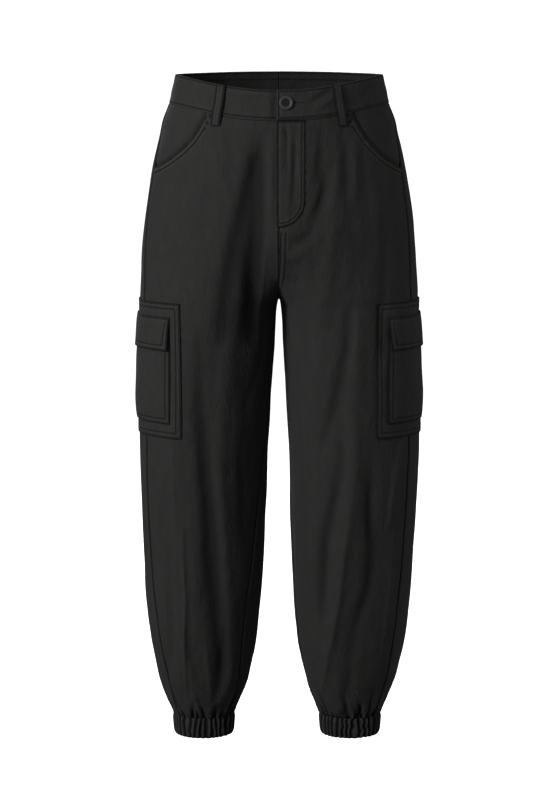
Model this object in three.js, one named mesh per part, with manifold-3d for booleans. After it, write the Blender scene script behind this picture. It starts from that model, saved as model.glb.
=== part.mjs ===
// Cargo trousers with elasticated cuffs, hollow and filled out as when they are worn.
// Millimetres. +Z is up, the front faces -Y, and +X is the wearer's left.
// The origin is the centre of the waist, half way up the waistband at the sides.
import * as THREE from "three";
import { mergeVertices } from "three/addons/utils/BufferGeometryUtils.js";
import Module from "manifold-3d";

const wasm = await Module();
wasm.setup();

// Cloth
const CLOTH = 1.2; // one layer of twill
const GAP = 0.3; // between pieces that are sewn together
const ON_TOP = 0.8; // between a panel and a patch that lies on it
const BAND_CLOTH = 2.4; // the waistband is two layers
const BAND_PROUD = 0.6; // how far the waistband stands out from the panels
const UNDERLAP_GAP = 0.5; // between the waistband's two ends where they lap
const FLAP_CLOTH = 1.6;
const LOOP_CLOTH = 1.6;

// Waist
const RIM_SIDE = 20;
const RIM_FRONT_DIP = 21.3;
const RIM_BACK_RISE = 3;
const RIM_DIP_POWER = 2.5;
const BAND_HEIGHT = 42;

// Crotch
const CROTCH_Z = -312;
const FRONT_CURVE = 110; // height over which the centre front seam turns under
const BACK_CURVE = 150;
const BODY_CURVE = 110; // the same for the panels away from the centre seams
const BODY_CURVE_BELOW = 60;
const CENTRE_REACH = 50; // degrees from the centre seam that turn under with it
const LEAN = -3.2; // both ankles stand this far to the wearer's right
const LEAN_TOP = -540;
const LEFT_FULLER = 1.4; // how much wider the left leg is, each way, down its length
const FULLER_FROM = 260; // height below the crotch over which it grows
const FULLER_TO = 140; // height above the leg's end over which it fades

// Legs and cuffs
const LEG_END = -949;
const CUFF_END = -981;
const CUFF_GATHERS = 34;
const CUFF_GATHER_DEPTH = 1.2;
const CUFF_STEPS = 4; // points for each gather
const CUFF_WAVES = [{ size: 0.8, count: 4 }, { size: 0.5, count: 9 }]; // how unevenly the gathers lie
const CUFF_OUTER = [
  { down: 0, grow: -0.6, gather: 0.5 },
  { down: 6, grow: 0.4, gather: 1 },
  { down: 24, grow: -1.2, gather: 1 },
  { down: 32, grow: -3.9, gather: 0.5 },
];
const CUFF_INNER = [{ down: 0, grow: -3 }, { down: 32, grow: -5.6 }];
const LEG_GATHERS = 14;
const LEG_GATHER_DEPTH = 2.4;
const LEG_GATHER_TOP = -872;
const LEG_GATHER_FADE = 1.5;
const LEG_GATHER_SLANT = 60;
const LEG_GATHER_WAVES = [{ size: 0.9, count: 3, start: 1 }, { size: 0.5, count: 5, start: 0 }];

// Hip pockets
const SCOOP_TOP_X = 105;
const SCOOP_TOP_Z = -33; // about where the opening meets the waistband
const SCOOP_BEND = { x: 126, z: -87 };
const SCOOP_END_Z = -116;
const FACING_DEPTH = 2.3; // its outer face below the front panel's
const FACING_UNDER = 13; // how far the facing reaches under the front panel
const FACING_ROWS = 5;
const SHARED_Z = -136; // the panels' rows are level from here down

// Fly
const FLY_LEFT = -3;
const FLY_RIGHT = 38;
const FLY_BEND_Z = -158;
const FLY_END_Z = -197;
const FLY_CLOTH = 1.1;
const FLY_TIP_X = 1; // where its curved end meets the centre seam
const FLY_COLUMNS = 6;
const FLY_ROWS = [0, 0.25, 0.5, 0.74, 0.84, 0.91, 0.96, 0.99, 1];

// Cargo pockets
const POCKET_TURN = 157.5; // degrees round the leg, where 90 is its front and 180 its outer side
const BASE = { top: -310.5, bottom: -510.5, half: 85 };
const BAG = { top: -345, bottom: -489.5, half: 67, puff: 3.8 };
const PUFF = { sideFade: 3.5, topFade: 0.42, bottomFrom: 0.62, bottomFade: 2.5 };
const BAG_COLUMNS = [-1, -0.95, -0.84, -0.64, -0.38, -0.12, 0.12, 0.38, 0.64, 0.84, 0.95, 1];
const FLAP = { top: -331, bottom: -380, half: 68, taper: 3, lift: 5.2, bow: 0.8 };

// Belt loops
const LOOP_HALF = 7;
const LOOP_BELOW = 17; // how far a loop reaches below the waistband
const LOOP_LIFT = 2.2;
const LOOP_CROWN = 0.35;
const LOOP_TOP = 1; // from the waistband's rim
const LOOP_ROWS = [0, 0.07, 0.18, 0.4, 0.62, 0.78, 0.9, 1];
const LOOP_STEP = { from: -12, over: 10 }; // where it steps down, from the waistband's lower edge
const LOOP_SEWN = 0.97; // its lower end is sewn flat from here
const LOOP_BOW = 0.6;
const LOOP_PLACES = [
  { name: "belt_loop_front_right", side: -1, sweep: 32 },
  { name: "belt_loop_front_left", side: 1, sweep: 32 },
  { name: "belt_loop_back_right", side: -1, sweep: 128 },
  { name: "belt_loop_back_left", side: 1, sweep: 128 },
  { name: "belt_loop_centre_back", side: 1, sweep: 180 },
];

// Button and buttonhole
const BUTTON_X = 10;
const BUTTON_Z = -19.5;
const BUTTON_R = 10;
const BUTTON_OUT = 0.6; // over the waistband
const SHANK_R = 1.7;
const THREAD_HOLE = { radius: 0.75, offset: 1.75, deep: 1, middle: 1.5 };
const BUTTON_PROFILE = [
  { inset: 8.3, height: 0 },
  { inset: 1.2, height: 0 },
  { inset: 0, height: 0.9 },
  { inset: 0, height: 1.9 },
  { inset: 0.8, height: 2.6 },
  { inset: 2.4, height: 2.6 },
  { inset: 3.4, height: 1.7 },
  { inset: 10, height: 1.5 },
];
const EYE_R = 2.6;
const SLIT_END_X = 38;
const SLIT_HALF = 0.8;
const UNDERLAP_X = 24;

// The body of the trousers above the crotch: half the width, and the depth in front of and behind the middle.
const HIPS = [
  { z: 26, half: 151.2, front: 107, back: 109 },
  { z: 0, half: 157, front: 112, back: 113 },
  { z: -20, half: 161.3, front: 114, back: 116 },
  { z: -47, half: 171.2, front: 117, back: 121 },
  { z: -69, half: 176.2, front: 119, back: 126 },
  { z: -92, half: 181.9, front: 121, back: 131 },
  { z: -114, half: 186.6, front: 122, back: 135 },
  { z: -136, half: 190.5, front: 123, back: 138 },
  { z: -180, half: 197.5, front: 124, back: 141 },
  { z: -225, half: 202.5, front: 124, back: 140 },
  { z: -270, half: 206, front: 123, back: 135 },
  { z: -314, half: 207.7, front: 121, back: 128 },
  { z: -380, half: 207.2, front: 116, back: 120 },
];

// One leg: the middle of its section, from the centre line and from front to back, half its width and its
// depth.
const LEG = [
  { z: -200, middle: 100, half: 100, middleY: 10, depth: 118 },
  { z: -312, middle: 103.9, half: 103.6, middleY: 8, depth: 114 },
  { z: -317, middle: 105, half: 102.7, middleY: 8, depth: 113.6 },
  { z: -337, middle: 106, half: 101.5, middleY: 7.6, depth: 112 },
  { z: -382, middle: 106.9, half: 100.2, middleY: 7, depth: 108.5 },
  { z: -427, middle: 108.6, half: 98.9, middleY: 6, depth: 105 },
  { z: -473, middle: 110.6, half: 98.3, middleY: 5, depth: 101 },
  { z: -541, middle: 112.9, half: 96.9, middleY: 5, depth: 96.5 },
  { z: -610, middle: 113.1, half: 95.1, middleY: 6, depth: 92.5 },
  { z: -679, middle: 113, half: 92.2, middleY: 8, depth: 89.5 },
  { z: -748, middle: 112.9, half: 88.5, middleY: 10, depth: 86.5 },
  { z: -795, middle: 112.7, half: 84.9, middleY: 12, depth: 83.5 },
  { z: -841, middle: 112.2, half: 78.9, middleY: 13, depth: 77.5 },
  { z: -888, middle: 112, half: 69.2, middleY: 14, depth: 67.5 },
  { z: -912, middle: 111.4, half: 62.1, middleY: 14.6, depth: 59.5 },
  { z: -935, middle: 112, half: 52.6, middleY: 15, depth: 49.8 },
  { z: -949, middle: 111.7, half: 47.2, middleY: 15, depth: 43.6 },
];

// Where the seams run, in degrees round the leg, on the wearer's right and left.
const SEAMS = [
  { z: 0, sideRight: 176, sideLeft: 173, inseamRight: 0, inseamLeft: 0 },
  { z: -30, sideRight: 174.3, sideLeft: 171.5, inseamRight: 0, inseamLeft: 0 },
  { z: -116, sideRight: 165.8, sideLeft: 156.5, inseamRight: 0, inseamLeft: 0 },
  { z: -225, sideRight: 160.2, sideLeft: 153, inseamRight: 0, inseamLeft: 0 },
  { z: -312, sideRight: 156.7, sideLeft: 151.1, inseamRight: 0, inseamLeft: 0 },
  { z: -400, sideRight: 153, sideLeft: 148, inseamRight: 6, inseamLeft: 3 },
  { z: -480, sideRight: 151, sideLeft: 145, inseamRight: 15, inseamLeft: 6 },
  { z: -574, sideRight: 150, sideLeft: 143.2, inseamRight: 26, inseamLeft: 9 },
  { z: -703, sideRight: 148, sideLeft: 141.4, inseamRight: 36, inseamLeft: 12 },
  { z: -768, sideRight: 144.6, sideLeft: 139, inseamRight: 41.5, inseamLeft: 14 },
  { z: -833, sideRight: 142, sideLeft: 137.5, inseamRight: 43, inseamLeft: 15 },
  { z: -899, sideRight: 139.5, sideLeft: 138.5, inseamRight: 38, inseamLeft: 14 },
  { z: -949, sideRight: 139, sideLeft: 139, inseamRight: 35, inseamLeft: 13 },
];

// The largest folds: ridges (depth above 0) and troughs from one place to another. side is -1 on the wearer's
// right and 1 on the left, turns are degrees round the leg, width is the half width in millimetres.
const FOLDS = [
  { side: -1, depth: -5, width: 20, turn0: 96, z0: -430, turn1: 68, z1: -925 },
  { side: -1, depth: 3.5, width: 18, turn0: 118, z0: -470, turn1: 98, z1: -900 },
  { side: -1, depth: -3, width: 22, turn0: 62, z0: -170, turn1: 52, z1: -330 },
  { side: -1, depth: -4, width: 22, turn0: 262, z0: -420, turn1: 285, z1: -880 },
  { side: -1, depth: -4, width: 16, turn0: 330, z0: -285, turn1: 285, z1: -350 },
  { side: 1, depth: 5, width: 19, turn0: 104, z0: -400, turn1: 62, z1: -910 },
  { side: 1, depth: -4.5, width: 18, turn0: 88, z0: -420, turn1: 44, z1: -820 },
  { side: 1, depth: -4, width: 18, turn0: 126, z0: -560, turn1: 96, z1: -930 },
  { side: 1, depth: -4.5, width: 17, turn0: 84, z0: -70, turn1: 66, z1: -205 },
  { side: 1, depth: -4, width: 22, turn0: 268, z0: -430, turn1: 290, z1: -860 },
  { side: 1, depth: -4, width: 16, turn0: 328, z0: -290, turn1: 282, z1: -360 },
];

const rad = THREE.MathUtils.degToRad;
const lerp = THREE.MathUtils.lerp;
const WELD = 1e-3; // points nearer than this are one
const FOLD_FADE = 0.7; // how softly a fold ends
const clamp01 = (t) => Math.min(1, Math.max(0, t));
const smooth = (t) => clamp01(t) ** 2 * (3 - 2 * clamp01(t));

// A table's column at height z, on a smooth curve through its rows, which run from the top down.
function read(table, column, z) {
  const last = table.length - 1;
  if (z >= table[0].z) return table[0][column];
  if (z <= table[last].z) return table[last][column];
  const below = table.findIndex((row) => row.z < z);
  const above = below - 1;
  const slope = (k) => {
    const a = table[Math.max(0, k - 1)];
    const b = table[Math.min(last, k + 1)];
    return (b[column] - a[column]) / (b.z - a.z);
  };
  const step = table[below].z - table[above].z;
  const t = (z - table[above].z) / step;
  const p = table[above][column];
  const q = table[below][column];
  const m = slope(above) * step;
  const n = slope(below) * step;
  return p + t * m + t * t * (3 * (q - p) - 2 * m - n) + t * t * t * (2 * (p - q) + m + n);
}

const seamName = (side) => (side < 0 ? "Right" : "Left");
const sideTurn = (side, z) => rad(read(SEAMS, "side" + seamName(side), z));
const inseamTurn = (side, z) => rad(read(SEAMS, "inseam" + seamName(side), z));

// The body's section at height z. sweep is 0 at the centre front and 180 degrees at the centre back.
function hipPoint(side, sweep, z) {
  const depth = Math.cos(sweep) > 0 ? read(HIPS, "front", z) : read(HIPS, "back", z);
  return new THREE.Vector3(side * read(HIPS, "half", z) * Math.sin(sweep), -depth * Math.cos(sweep), z);
}

// The sweep that lies over a turn of the leg below it.
const halfRound = (turn) => (1 - Math.cos(turn)) / 2;
const sweepAt = (turn) =>
  turn <= Math.PI ? Math.asin(halfRound(turn)) : Math.PI - Math.asin(halfRound(turn));

// How far the body has become two legs at a turn and height: 0 is body, 1 is leg.
function legShare(turn, z) {
  const fromCentre = turn <= Math.PI ? turn : 2 * Math.PI - turn;
  const curve = turn <= Math.PI ? FRONT_CURVE : BACK_CURVE;
  const t = clamp01((CROTCH_Z + curve - z) / curve);
  const atCentre = 1 - Math.sqrt(1 - t * t);
  const elsewhere = smooth((CROTCH_Z + BODY_CURVE - z) / (BODY_CURVE + BODY_CURVE_BELOW));
  return lerp(atCentre, elsewhere, smooth(fromCentre / rad(CENTRE_REACH)));
}

const lean = (z) => LEAN * clamp01((LEAN_TOP - z) / (LEAN_TOP - CUFF_END));
const fullness = (z) => smooth((CROTCH_Z - z) / FULLER_FROM) * smooth((z - LEG_END) / FULLER_TO);

// The outer surface with no folds. turn is 0 at the centre front or at the inside of a leg, 90 degrees at
// the middle of the leg's front, 180 at its outer side and 270 at its back.
function plainPoint(side, turnGiven, z) {
  const turn = turnGiven > 2 * Math.PI ? turnGiven - 2 * Math.PI : Math.max(0, turnGiven);
  const share = legShare(turn, z);
  const body = hipPoint(side, sweepAt(turn), z);
  const half = read(LEG, "half", z) + (side > 0 ? LEFT_FULLER * fullness(z) : 0);
  const leg = new THREE.Vector3(
    side * (read(LEG, "middle", z) - half * Math.cos(turn)) + lean(z),
    read(LEG, "middleY", z) - read(LEG, "depth", z) * Math.sin(turn),
    z,
  );
  return body.lerp(leg, share);
}

// How far the folds move the surface out at one place.
function foldDepth(side, turn, z) {
  let moved = 0;
  for (const fold of FOLDS) {
    if (fold.side !== side) continue;
    const t = (z - fold.z0) / (fold.z1 - fold.z0);
    if (t <= 0 || t >= 1) continue;
    const radius = (read(LEG, "half", z) + read(LEG, "depth", z)) / 2;
    const away = (turn - rad(lerp(fold.turn0, fold.turn1, t))) * radius;
    moved += fold.depth * Math.sin(Math.PI * t) ** FOLD_FADE * Math.exp(-((away / fold.width) ** 2));
  }
  return moved;
}

// The gathers where the leg is drawn into its cuff, uneven as cloth is.
function legGather(turn, z) {
  const grown = smooth((LEG_GATHER_TOP - z) / (LEG_GATHER_TOP - LEG_END)) ** LEG_GATHER_FADE;
  let uneven = LEG_GATHERS * turn + z / LEG_GATHER_SLANT;
  for (const wave of LEG_GATHER_WAVES) uneven += wave.size * Math.sin(wave.count * turn + wave.start);
  return LEG_GATHER_DEPTH * grown * Math.sin(uneven);
}

const TURN_STEP = rad(0.6);
const Z_STEP = 0.6;

// Which way is out from a surface, given as a function of a turn and a height.
function outward(side, surface, turn, z) {
  const round = surface(turn + TURN_STEP, z).sub(surface(turn - TURN_STEP, z));
  const up = surface(turn, z + Z_STEP).sub(surface(turn, z - Z_STEP));
  return round.cross(up).multiplyScalar(side).normalize();
}

const foldedPoint = (side, turn, z) => {
  const plain = (a, b) => plainPoint(side, a, b);
  return plain(turn, z).addScaledVector(outward(side, plain, turn, z), foldDepth(side, turn, z));
};

// A point this far out from the folded surface.
function lifted(side, turn, z, out) {
  const surface = (a, b) => foldedPoint(side, a, b);
  return surface(turn, z).addScaledVector(outward(side, surface, turn, z), out);
}

// A point this far out from the body above the crotch.
const bodyPoint = (side, sweep, z, out) => {
  const surface = (a, b) => hipPoint(side, a, b);
  return surface(sweep, z).addScaledVector(outward(side, surface, sweep, z), out);
};

const rimZ = (sweep) =>
  Math.cos(sweep) > 0
    ? RIM_SIDE - RIM_FRONT_DIP * Math.cos(sweep) ** RIM_DIP_POWER
    : RIM_SIDE + RIM_BACK_RISE * Math.cos(sweep) ** 2;
const bandBottomZ = (sweep) => rimZ(sweep) - BAND_HEIGHT;

// The triangles between two rows of points, which may have different numbers of points.
function betweenRows(rowA, rowB, add) {
  let i = 0;
  let j = 0;
  while (i < rowA.length - 1 || j < rowB.length - 1) {
    const nextA = (i + 1) / (rowA.length - 1);
    const nextB = (j + 1) / (rowB.length - 1);
    if (j >= rowB.length - 1 || (i < rowA.length - 1 && nextA <= nextB)) {
      add(rowA[i], rowB[j], rowA[i + 1]);
      i += 1;
    } else {
      add(rowA[i], rowB[j], rowB[j + 1]);
      j += 1;
    }
  }
}

// The same grid moved along its own normals by a distance.
function offsetGrid(grid, distance) {
  const normals = grid.map((row) => row.map(() => new THREE.Vector3()));
  for (let i = 0; i < grid.length - 1; i += 1) {
    for (let j = 0; j < grid[i].length - 1; j += 1) {
      const a = grid[i + 1][j + 1].clone().sub(grid[i][j]);
      const b = grid[i + 1][j].clone().sub(grid[i][j + 1]);
      const normal = a.cross(b).normalize();
      for (const [di, dj] of [[0, 0], [0, 1], [1, 0], [1, 1]]) normals[i + di][j + dj].add(normal);
    }
  }
  return grid.map((row, i) =>
    row.map((p, j) => p.clone().addScaledVector(normals[i][j].normalize(), distance)),
  );
}

// A closed body between an outer and an inner grid. round says that each row closes on itself.
function wall(outer, inner, round = false) {
  const points = [];
  const add = (a, b, c) => points.push(a, b, c);
  const flipped = (a, b, c) => points.push(a, c, b);
  for (let i = 0; i < outer.length - 1; i += 1) {
    betweenRows(outer[i], outer[i + 1], add);
    if (round) continue;
    const last = outer.map((row) => row.length - 1);
    const lastIn = inner.map((row) => row.length - 1);
    betweenRows([outer[i][0], outer[i + 1][0]], [inner[i][0], inner[i + 1][0]], add);
    betweenRows(
      [outer[i][last[i]], outer[i + 1][last[i + 1]]],
      [inner[i][lastIn[i]], inner[i + 1][lastIn[i + 1]]],
      flipped,
    );
  }
  for (let i = 0; i < inner.length - 1; i += 1) betweenRows(inner[i], inner[i + 1], flipped);
  betweenRows(outer[0], inner[0], flipped);
  betweenRows(outer.at(-1), inner.at(-1), add);
  return solidGeometry(points);
}

// Triangles as one geometry with its faces pointing out.
function solidGeometry(points) {
  let volume = 0;
  for (let i = 0; i < points.length; i += 3) {
    volume += points[i].dot(points[i + 1].clone().cross(points[i + 2]));
  }
  if (volume < 0) {
    for (let i = 0; i < points.length; i += 3) {
      [points[i + 1], points[i + 2]] = [points[i + 2], points[i + 1]];
    }
  }
  return mergeVertices(new THREE.BufferGeometry().setFromPoints(points), WELD);
}

const CLOTH_COLOUR = "#262624";
const group = new THREE.Group();
function addPiece(name, geometry, colour = CLOTH_COLOUR, roughness = 0.9) {
  geometry.computeVertexNormals();
  const material = new THREE.MeshStandardMaterial({ color: colour, roughness, metalness: 0 });
  const mesh = new THREE.Mesh(geometry, material);
  mesh.name = name;
  group.add(mesh);
}

// Evenly spaced numbers from 0 to 1.
const shares = (count) => Array.from({ length: count + 1 }, (_, i) => i / count);
// The same list with each step cut into parts.
const withBetween = (list, parts) => [
  ...list.slice(1).flatMap((v, i) => shares(parts).slice(0, -1).map((t) => lerp(list[i], v, t))),
  list.at(-1),
];

// The hip pocket's opening, from the waistband down to the side seam: a quadratic curve in x and z.
function scoopCurve(side, start, bend, endZ) {
  const endX = hipPoint(1, sweepAt(sideTurn(side, endZ)), endZ).x;
  const curve = new THREE.QuadraticBezierCurve(
    new THREE.Vector2(start.x, start.z),
    new THREE.Vector2(bend.x, bend.z),
    new THREE.Vector2(endX, endZ),
  );
  return (t) => curve.getPoint(t);
}
const turnOfX = (x, z) => Math.acos(1 - (2 * x) / read(HIPS, "half", z));
const sweepOfX = (x, z) => Math.asin(x / read(HIPS, "half", z));
const scoopOf = (side) => {
  const startZ = bandBottomZ(sweepOfX(SCOOP_TOP_X, SCOOP_TOP_Z));
  return scoopCurve(side, { x: SCOOP_TOP_X, z: startZ }, SCOOP_BEND, SCOOP_END_Z);
};

// The heights of the panels' rows. Above SHARED_Z they spread out from there to the panel's top edge.
const UPPER_ROWS = [0, 0.2, 0.42, 0.7];
const HIP_ROWS = [SHARED_Z, -168, -202];
const CURVE_ANGLES = [20, 40, 58, 74, 90];
const CURVE_ROWS = CURVE_ANGLES.map((angle) => CROTCH_Z + FRONT_CURVE * (1 - Math.sin(rad(angle))));
const LEG_ROWS = [-317, -330, -356, -395, -440, -490, -545, -605, -665, -725, -780, -822, -856];
const GATHER_ROWS = [-884, -904, -920, -933, -943, LEG_END + GAP];
const LEVEL_ROWS = [...HIP_ROWS, ...CURVE_ROWS, ...LEG_ROWS, ...GATHER_ROWS];

// A panel of one leg. columns run from 0 to 1 between its two seams, topZ gives its top edge.
function panel(side, columns, fineParts, turnOf, topZ) {
  const rows = [
    ...UPPER_ROWS.map((share) => ({ share })),
    ...LEVEL_ROWS.map((z) => ({ z })),
  ];
  const heightOf = (row, u) => row.z ?? lerp(topZ(u), SHARED_Z, row.share);
  const fine = withBetween(columns, fineParts);
  const face = (out) =>
    rows.map((row) =>
      (row.z < LEG_GATHER_TOP ? fine : columns).map((u) => {
        const z = heightOf(row, u);
        const turn = turnOf(u, z);
        return insideSeams(side, lifted(side, turn, z, out + legGather(turn, z)), turn, z, u);
      }),
    );
  return wall(face(0), face(-CLOTH));
}

// Keeps a point on its own side of the centre seams.
function offCentre(side, p) {
  p.x = side * Math.max(GAP / 2, side * p.x);
  return p;
}

// Draws the first and last points of a panel's row back from the seams.
function insideSeams(side, p, turn, z, u, back = GAP / 2) {
  if (u > 0 && u < 1) return offCentre(side, p);
  const along = plainPoint(side, turn + TURN_STEP, z).sub(plainPoint(side, turn - TURN_STEP, z));
  return offCentre(side, p.addScaledVector(along.normalize(), u === 0 ? back : -back));
}

const FRONT_COLUMNS = 7; // between the centre front and the pocket's opening
const FRONT_PARTS = 2; // each column is cut into this many where the leg is gathered
const BACK_PARTS = 3;
const SCOOP_COLUMNS = 7;
const BACK_COLUMNS = 16;

function frontPanel(side) {
  const scoop = scoopOf(side);
  const edge = shares(SCOOP_COLUMNS).map((t) => {
    const p = scoop(t);
    return { u: t === 1 ? 1 : turnOfX(p.x, p.y) / sideTurn(side, p.y), z: p.y };
  });
  const columns = [
    ...shares(FRONT_COLUMNS).slice(0, -1).map((t) => t * edge[0].u),
    ...edge.map((e) => e.u),
  ];
  const topZ = (u) => {
    const found = edge.find((e) => e.u === u);
    if (found) return found.z - (found === edge[0] ? GAP : 0);
    return bandBottomZ(sweepAt(u * sideTurn(side, bandBottomZ(0)))) - GAP;
  };
  const turnOf = (u, z) => lerp(inseamTurn(side, z), sideTurn(side, z), u);
  return panel(side, columns, FRONT_PARTS, turnOf, topZ);
}

function backPanel(side) {
  const turnOf = (u, z) => lerp(sideTurn(side, z), 2 * Math.PI + inseamTurn(side, z), u);
  const topZ = (u) => bandBottomZ(sweepAt(turnOf(u, bandBottomZ(Math.PI / 2)))) - GAP;
  return panel(side, shares(BACK_COLUMNS), BACK_PARTS, turnOf, topZ);
}

// The piece of cloth seen inside the hip pocket's opening, one layer under the front panel.
function hipFacing(side) {
  const startX = SCOOP_TOP_X - FACING_UNDER;
  const startZ = bandBottomZ(sweepOfX(startX, SCOOP_TOP_Z)) - FACING_UNDER;
  const bend = { x: SCOOP_BEND.x - FACING_UNDER, z: SCOOP_BEND.z - FACING_UNDER };
  const edge = scoopCurve(side, { x: startX, z: startZ }, bend, SCOOP_END_Z - FACING_UNDER);
  const grid = shares(FACING_ROWS).map((v) =>
    shares(SCOOP_COLUMNS).map((t) => {
      const low = edge(t);
      const lowTurn = turnOfX(low.x, low.y);
      const topZ = bandBottomZ(sweepAt(lowTurn)) - GAP;
      const z = lerp(topZ, low.y, v);
      const u = lowTurn / sideTurn(side, low.y);
      const turn = Math.min(1, u) * sideTurn(side, z);
      return insideSeams(side, lifted(side, turn, z, -FACING_DEPTH), turn, z, t === 1 ? 1 : 0.5, 2 * GAP);
    }),
  );
  return wall(grid, offsetGrid(grid, side * CLOTH));
}

// The fly: a lap on the wearer's left front, which ends in a curve at the centre seam.
function flyLap() {
  const rightEdge = (z) => {
    const t = clamp01((FLY_BEND_Z - z) / (FLY_BEND_Z - FLY_END_Z));
    return lerp(FLY_TIP_X, FLY_RIGHT, Math.sqrt(1 - t * t));
  };
  const top = bandBottomZ(0) - GAP;
  const grid = FLY_ROWS.map((v) => {
    const z = lerp(top, FLY_END_Z, v);
    return shares(FLY_COLUMNS).map((u) => {
      const x = lerp(FLY_LEFT, rightEdge(z), u);
      const side = x < 0 ? -1 : 1;
      return lifted(side, turnOfX(Math.abs(x), z), z, ON_TOP + FLY_CLOTH);
    });
  });
  return wall(grid, offsetGrid(grid, FLY_CLOTH));
}

const UNDERLAP_OUT = BAND_PROUD - BAND_CLOTH - UNDERLAP_GAP;
const LAP_CLEAR = rad(0.2); // the right half starts to rise this far past the left half's end
const LAP_RISE = rad(3);
const BAND_COLUMNS = 24;
const BAND_ROWS = 3;

// Half the waistband, from past the centre front to the centre back. The right half dips under the left.
function waistband(side) {
  const under = side < 0;
  const end = -sweepOfX(under ? UNDERLAP_X : -FLY_LEFT, 0);
  const lapEnd = sweepOfX(GAP - FLY_LEFT, 0) + LAP_CLEAR;
  const risen = lapEnd + LAP_RISE;
  const sweeps = [
    ...(under ? [end, end / 2, 0, lapEnd, risen] : [end, 0, lapEnd, risen]),
    ...shares(BAND_COLUMNS).slice(1).map((t) => lerp(risen, Math.PI, t)),
  ];
  const start = under ? UNDERLAP_OUT : BAND_PROUD;
  const outOf = (sweep) => lerp(start, BAND_PROUD, smooth((sweep - lapEnd) / LAP_RISE));
  const grid = shares(BAND_ROWS).map((v) =>
    sweeps.map((sweep) => {
      const z = lerp(rimZ(sweep), bandBottomZ(sweep), v);
      const p = bodyPoint(side, sweep, z, outOf(sweep));
      return sweep === Math.PI ? p.setX((side * GAP) / 2) : p;
    }),
  );
  const inner = offsetGrid(grid, side * BAND_CLOTH);
  for (const row of inner) row.at(-1).x = (side * GAP) / 2;
  return wall(grid, inner);
}

// A geometry as a solid that can be cut, and back again.
function toSolid(geometry) {
  const bare = geometry.clone();
  for (const name of ["normal", "uv"]) bare.deleteAttribute(name);
  const merged = mergeVertices(bare, WELD);
  return new wasm.Manifold(
    new wasm.Mesh({
      numProp: 3,
      vertProperties: merged.attributes.position.array,
      triVerts: new Uint32Array(merged.index.array),
    }),
  );
}
function toGeometry(solid) {
  const mesh = solid.getMesh();
  const geometry = new THREE.BufferGeometry();
  const positions = new Float32Array(mesh.vertProperties);
  geometry.setAttribute("position", new THREE.BufferAttribute(positions, 3));
  geometry.setIndex(new THREE.BufferAttribute(new Uint32Array(mesh.triVerts), 1));
  return geometry;
}

// The buttonhole: a round eye under the button, and a slit from it towards the wearer's left.
function buttonhole() {
  const deep = 30;
  const round = 16;
  const y = -read(HIPS, "front", BUTTON_Z);
  const eye = new THREE.CylinderGeometry(EYE_R, EYE_R, deep, round);
  eye.translate(BUTTON_X, y, BUTTON_Z);
  const slit = new THREE.BoxGeometry(SLIT_END_X - BUTTON_X, deep, 2 * SLIT_HALF);
  slit.translate((SLIT_END_X + BUTTON_X) / 2, y, BUTTON_Z);
  return toSolid(eye).add(toSolid(slit));
}

// The button: a dished disc with four holes, on a stem that passes through the buttonhole.
function button() {
  const out = BAND_PROUD + BUTTON_OUT;
  const stem = out - UNDERLAP_OUT - GAP;
  const profile = [
    new THREE.Vector2(0, -stem),
    new THREE.Vector2(SHANK_R, -stem),
    ...BUTTON_PROFILE.map((p) => new THREE.Vector2(BUTTON_R - p.inset, p.height)),
  ];
  let solid = toSolid(new THREE.LatheGeometry(profile, 24));
  const { radius, offset, deep, middle: height } = THREAD_HOLE;
  for (const [dx, dz] of [[1, 1], [1, -1], [-1, 1], [-1, -1]]) {
    const hole = new THREE.CylinderGeometry(radius, radius, deep, 8);
    hole.translate(dx * offset, height, dz * offset);
    solid = solid.subtract(toSolid(hole));
  }
  const sweep = sweepOfX(BUTTON_X, BUTTON_Z);
  const away = outward(1, (a, b) => hipPoint(1, a, b), sweep, BUTTON_Z);
  const turned = new THREE.Quaternion().setFromUnitVectors(new THREE.Vector3(0, 1, 0), away);
  const centre = bodyPoint(1, sweep, BUTTON_Z, out);
  return toGeometry(solid).applyQuaternion(turned).translate(centre.x, centre.y, centre.z);
}

// A belt loop: a strip that is flat at both ends and stands off the waistband between them.
function beltLoop({ side, sweep }) {
  const middle = rad(sweep);
  const top = rimZ(middle) - LOOP_TOP;
  const edgeZ = bandBottomZ(middle);
  const bottom = edgeZ - LOOP_BELOW;
  const onBand = BAND_PROUD + GAP + LOOP_CLOTH;
  const onPanel = GAP + LOOP_CLOTH;
  const grid = LOOP_ROWS.map((v) => {
    const z = lerp(top, bottom, v);
    const flat = lerp(onPanel, onBand, smooth((z - edgeZ - LOOP_STEP.from) / LOOP_STEP.over));
    const out = flat + LOOP_LIFT * Math.sin(Math.PI * clamp01(v / LOOP_SEWN)) ** LOOP_BOW;
    return [-1, -0.5, 0.5, 1].map((share) => {
      const radius = (read(HIPS, "half", z) + read(HIPS, "front", z)) / 2;
      const place = middle + (share * LOOP_HALF) / radius;
      return bodyPoint(side, place, z, out + (Math.abs(share) < 1 ? LOOP_CROWN : 0));
    });
  });
  return wall(grid, offsetGrid(grid, side * LOOP_CLOTH));
}

// A patch on the outside of a leg: across runs from -1 to 1 and up from 0 at its bottom to 1 at its top.
function legPatch(side, { rows, columns, across, height, out, thick }) {
  const grid = rows.map((v) =>
    columns.map((share) => {
      const z = height(v);
      const radius = (read(LEG, "half", z) + read(LEG, "depth", z)) / 2;
      const turn = rad(POCKET_TURN) + across(share, v) / radius;
      return lifted(side, turn, z, out(share, v) + thick);
    }),
  );
  return wall(grid, offsetGrid(grid, side * thick));
}

const spread = (count) => shares(count).map((t) => 2 * t - 1);

const cargoBase = (side) =>
  legPatch(side, {
    rows: shares(8),
    columns: spread(12),
    across: (share) => share * BASE.half,
    height: (v) => lerp(BASE.top, BASE.bottom, v),
    out: () => ON_TOP,
    thick: CLOTH,
  });

const BASE_OUT = ON_TOP + CLOTH + GAP / 2;

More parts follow.
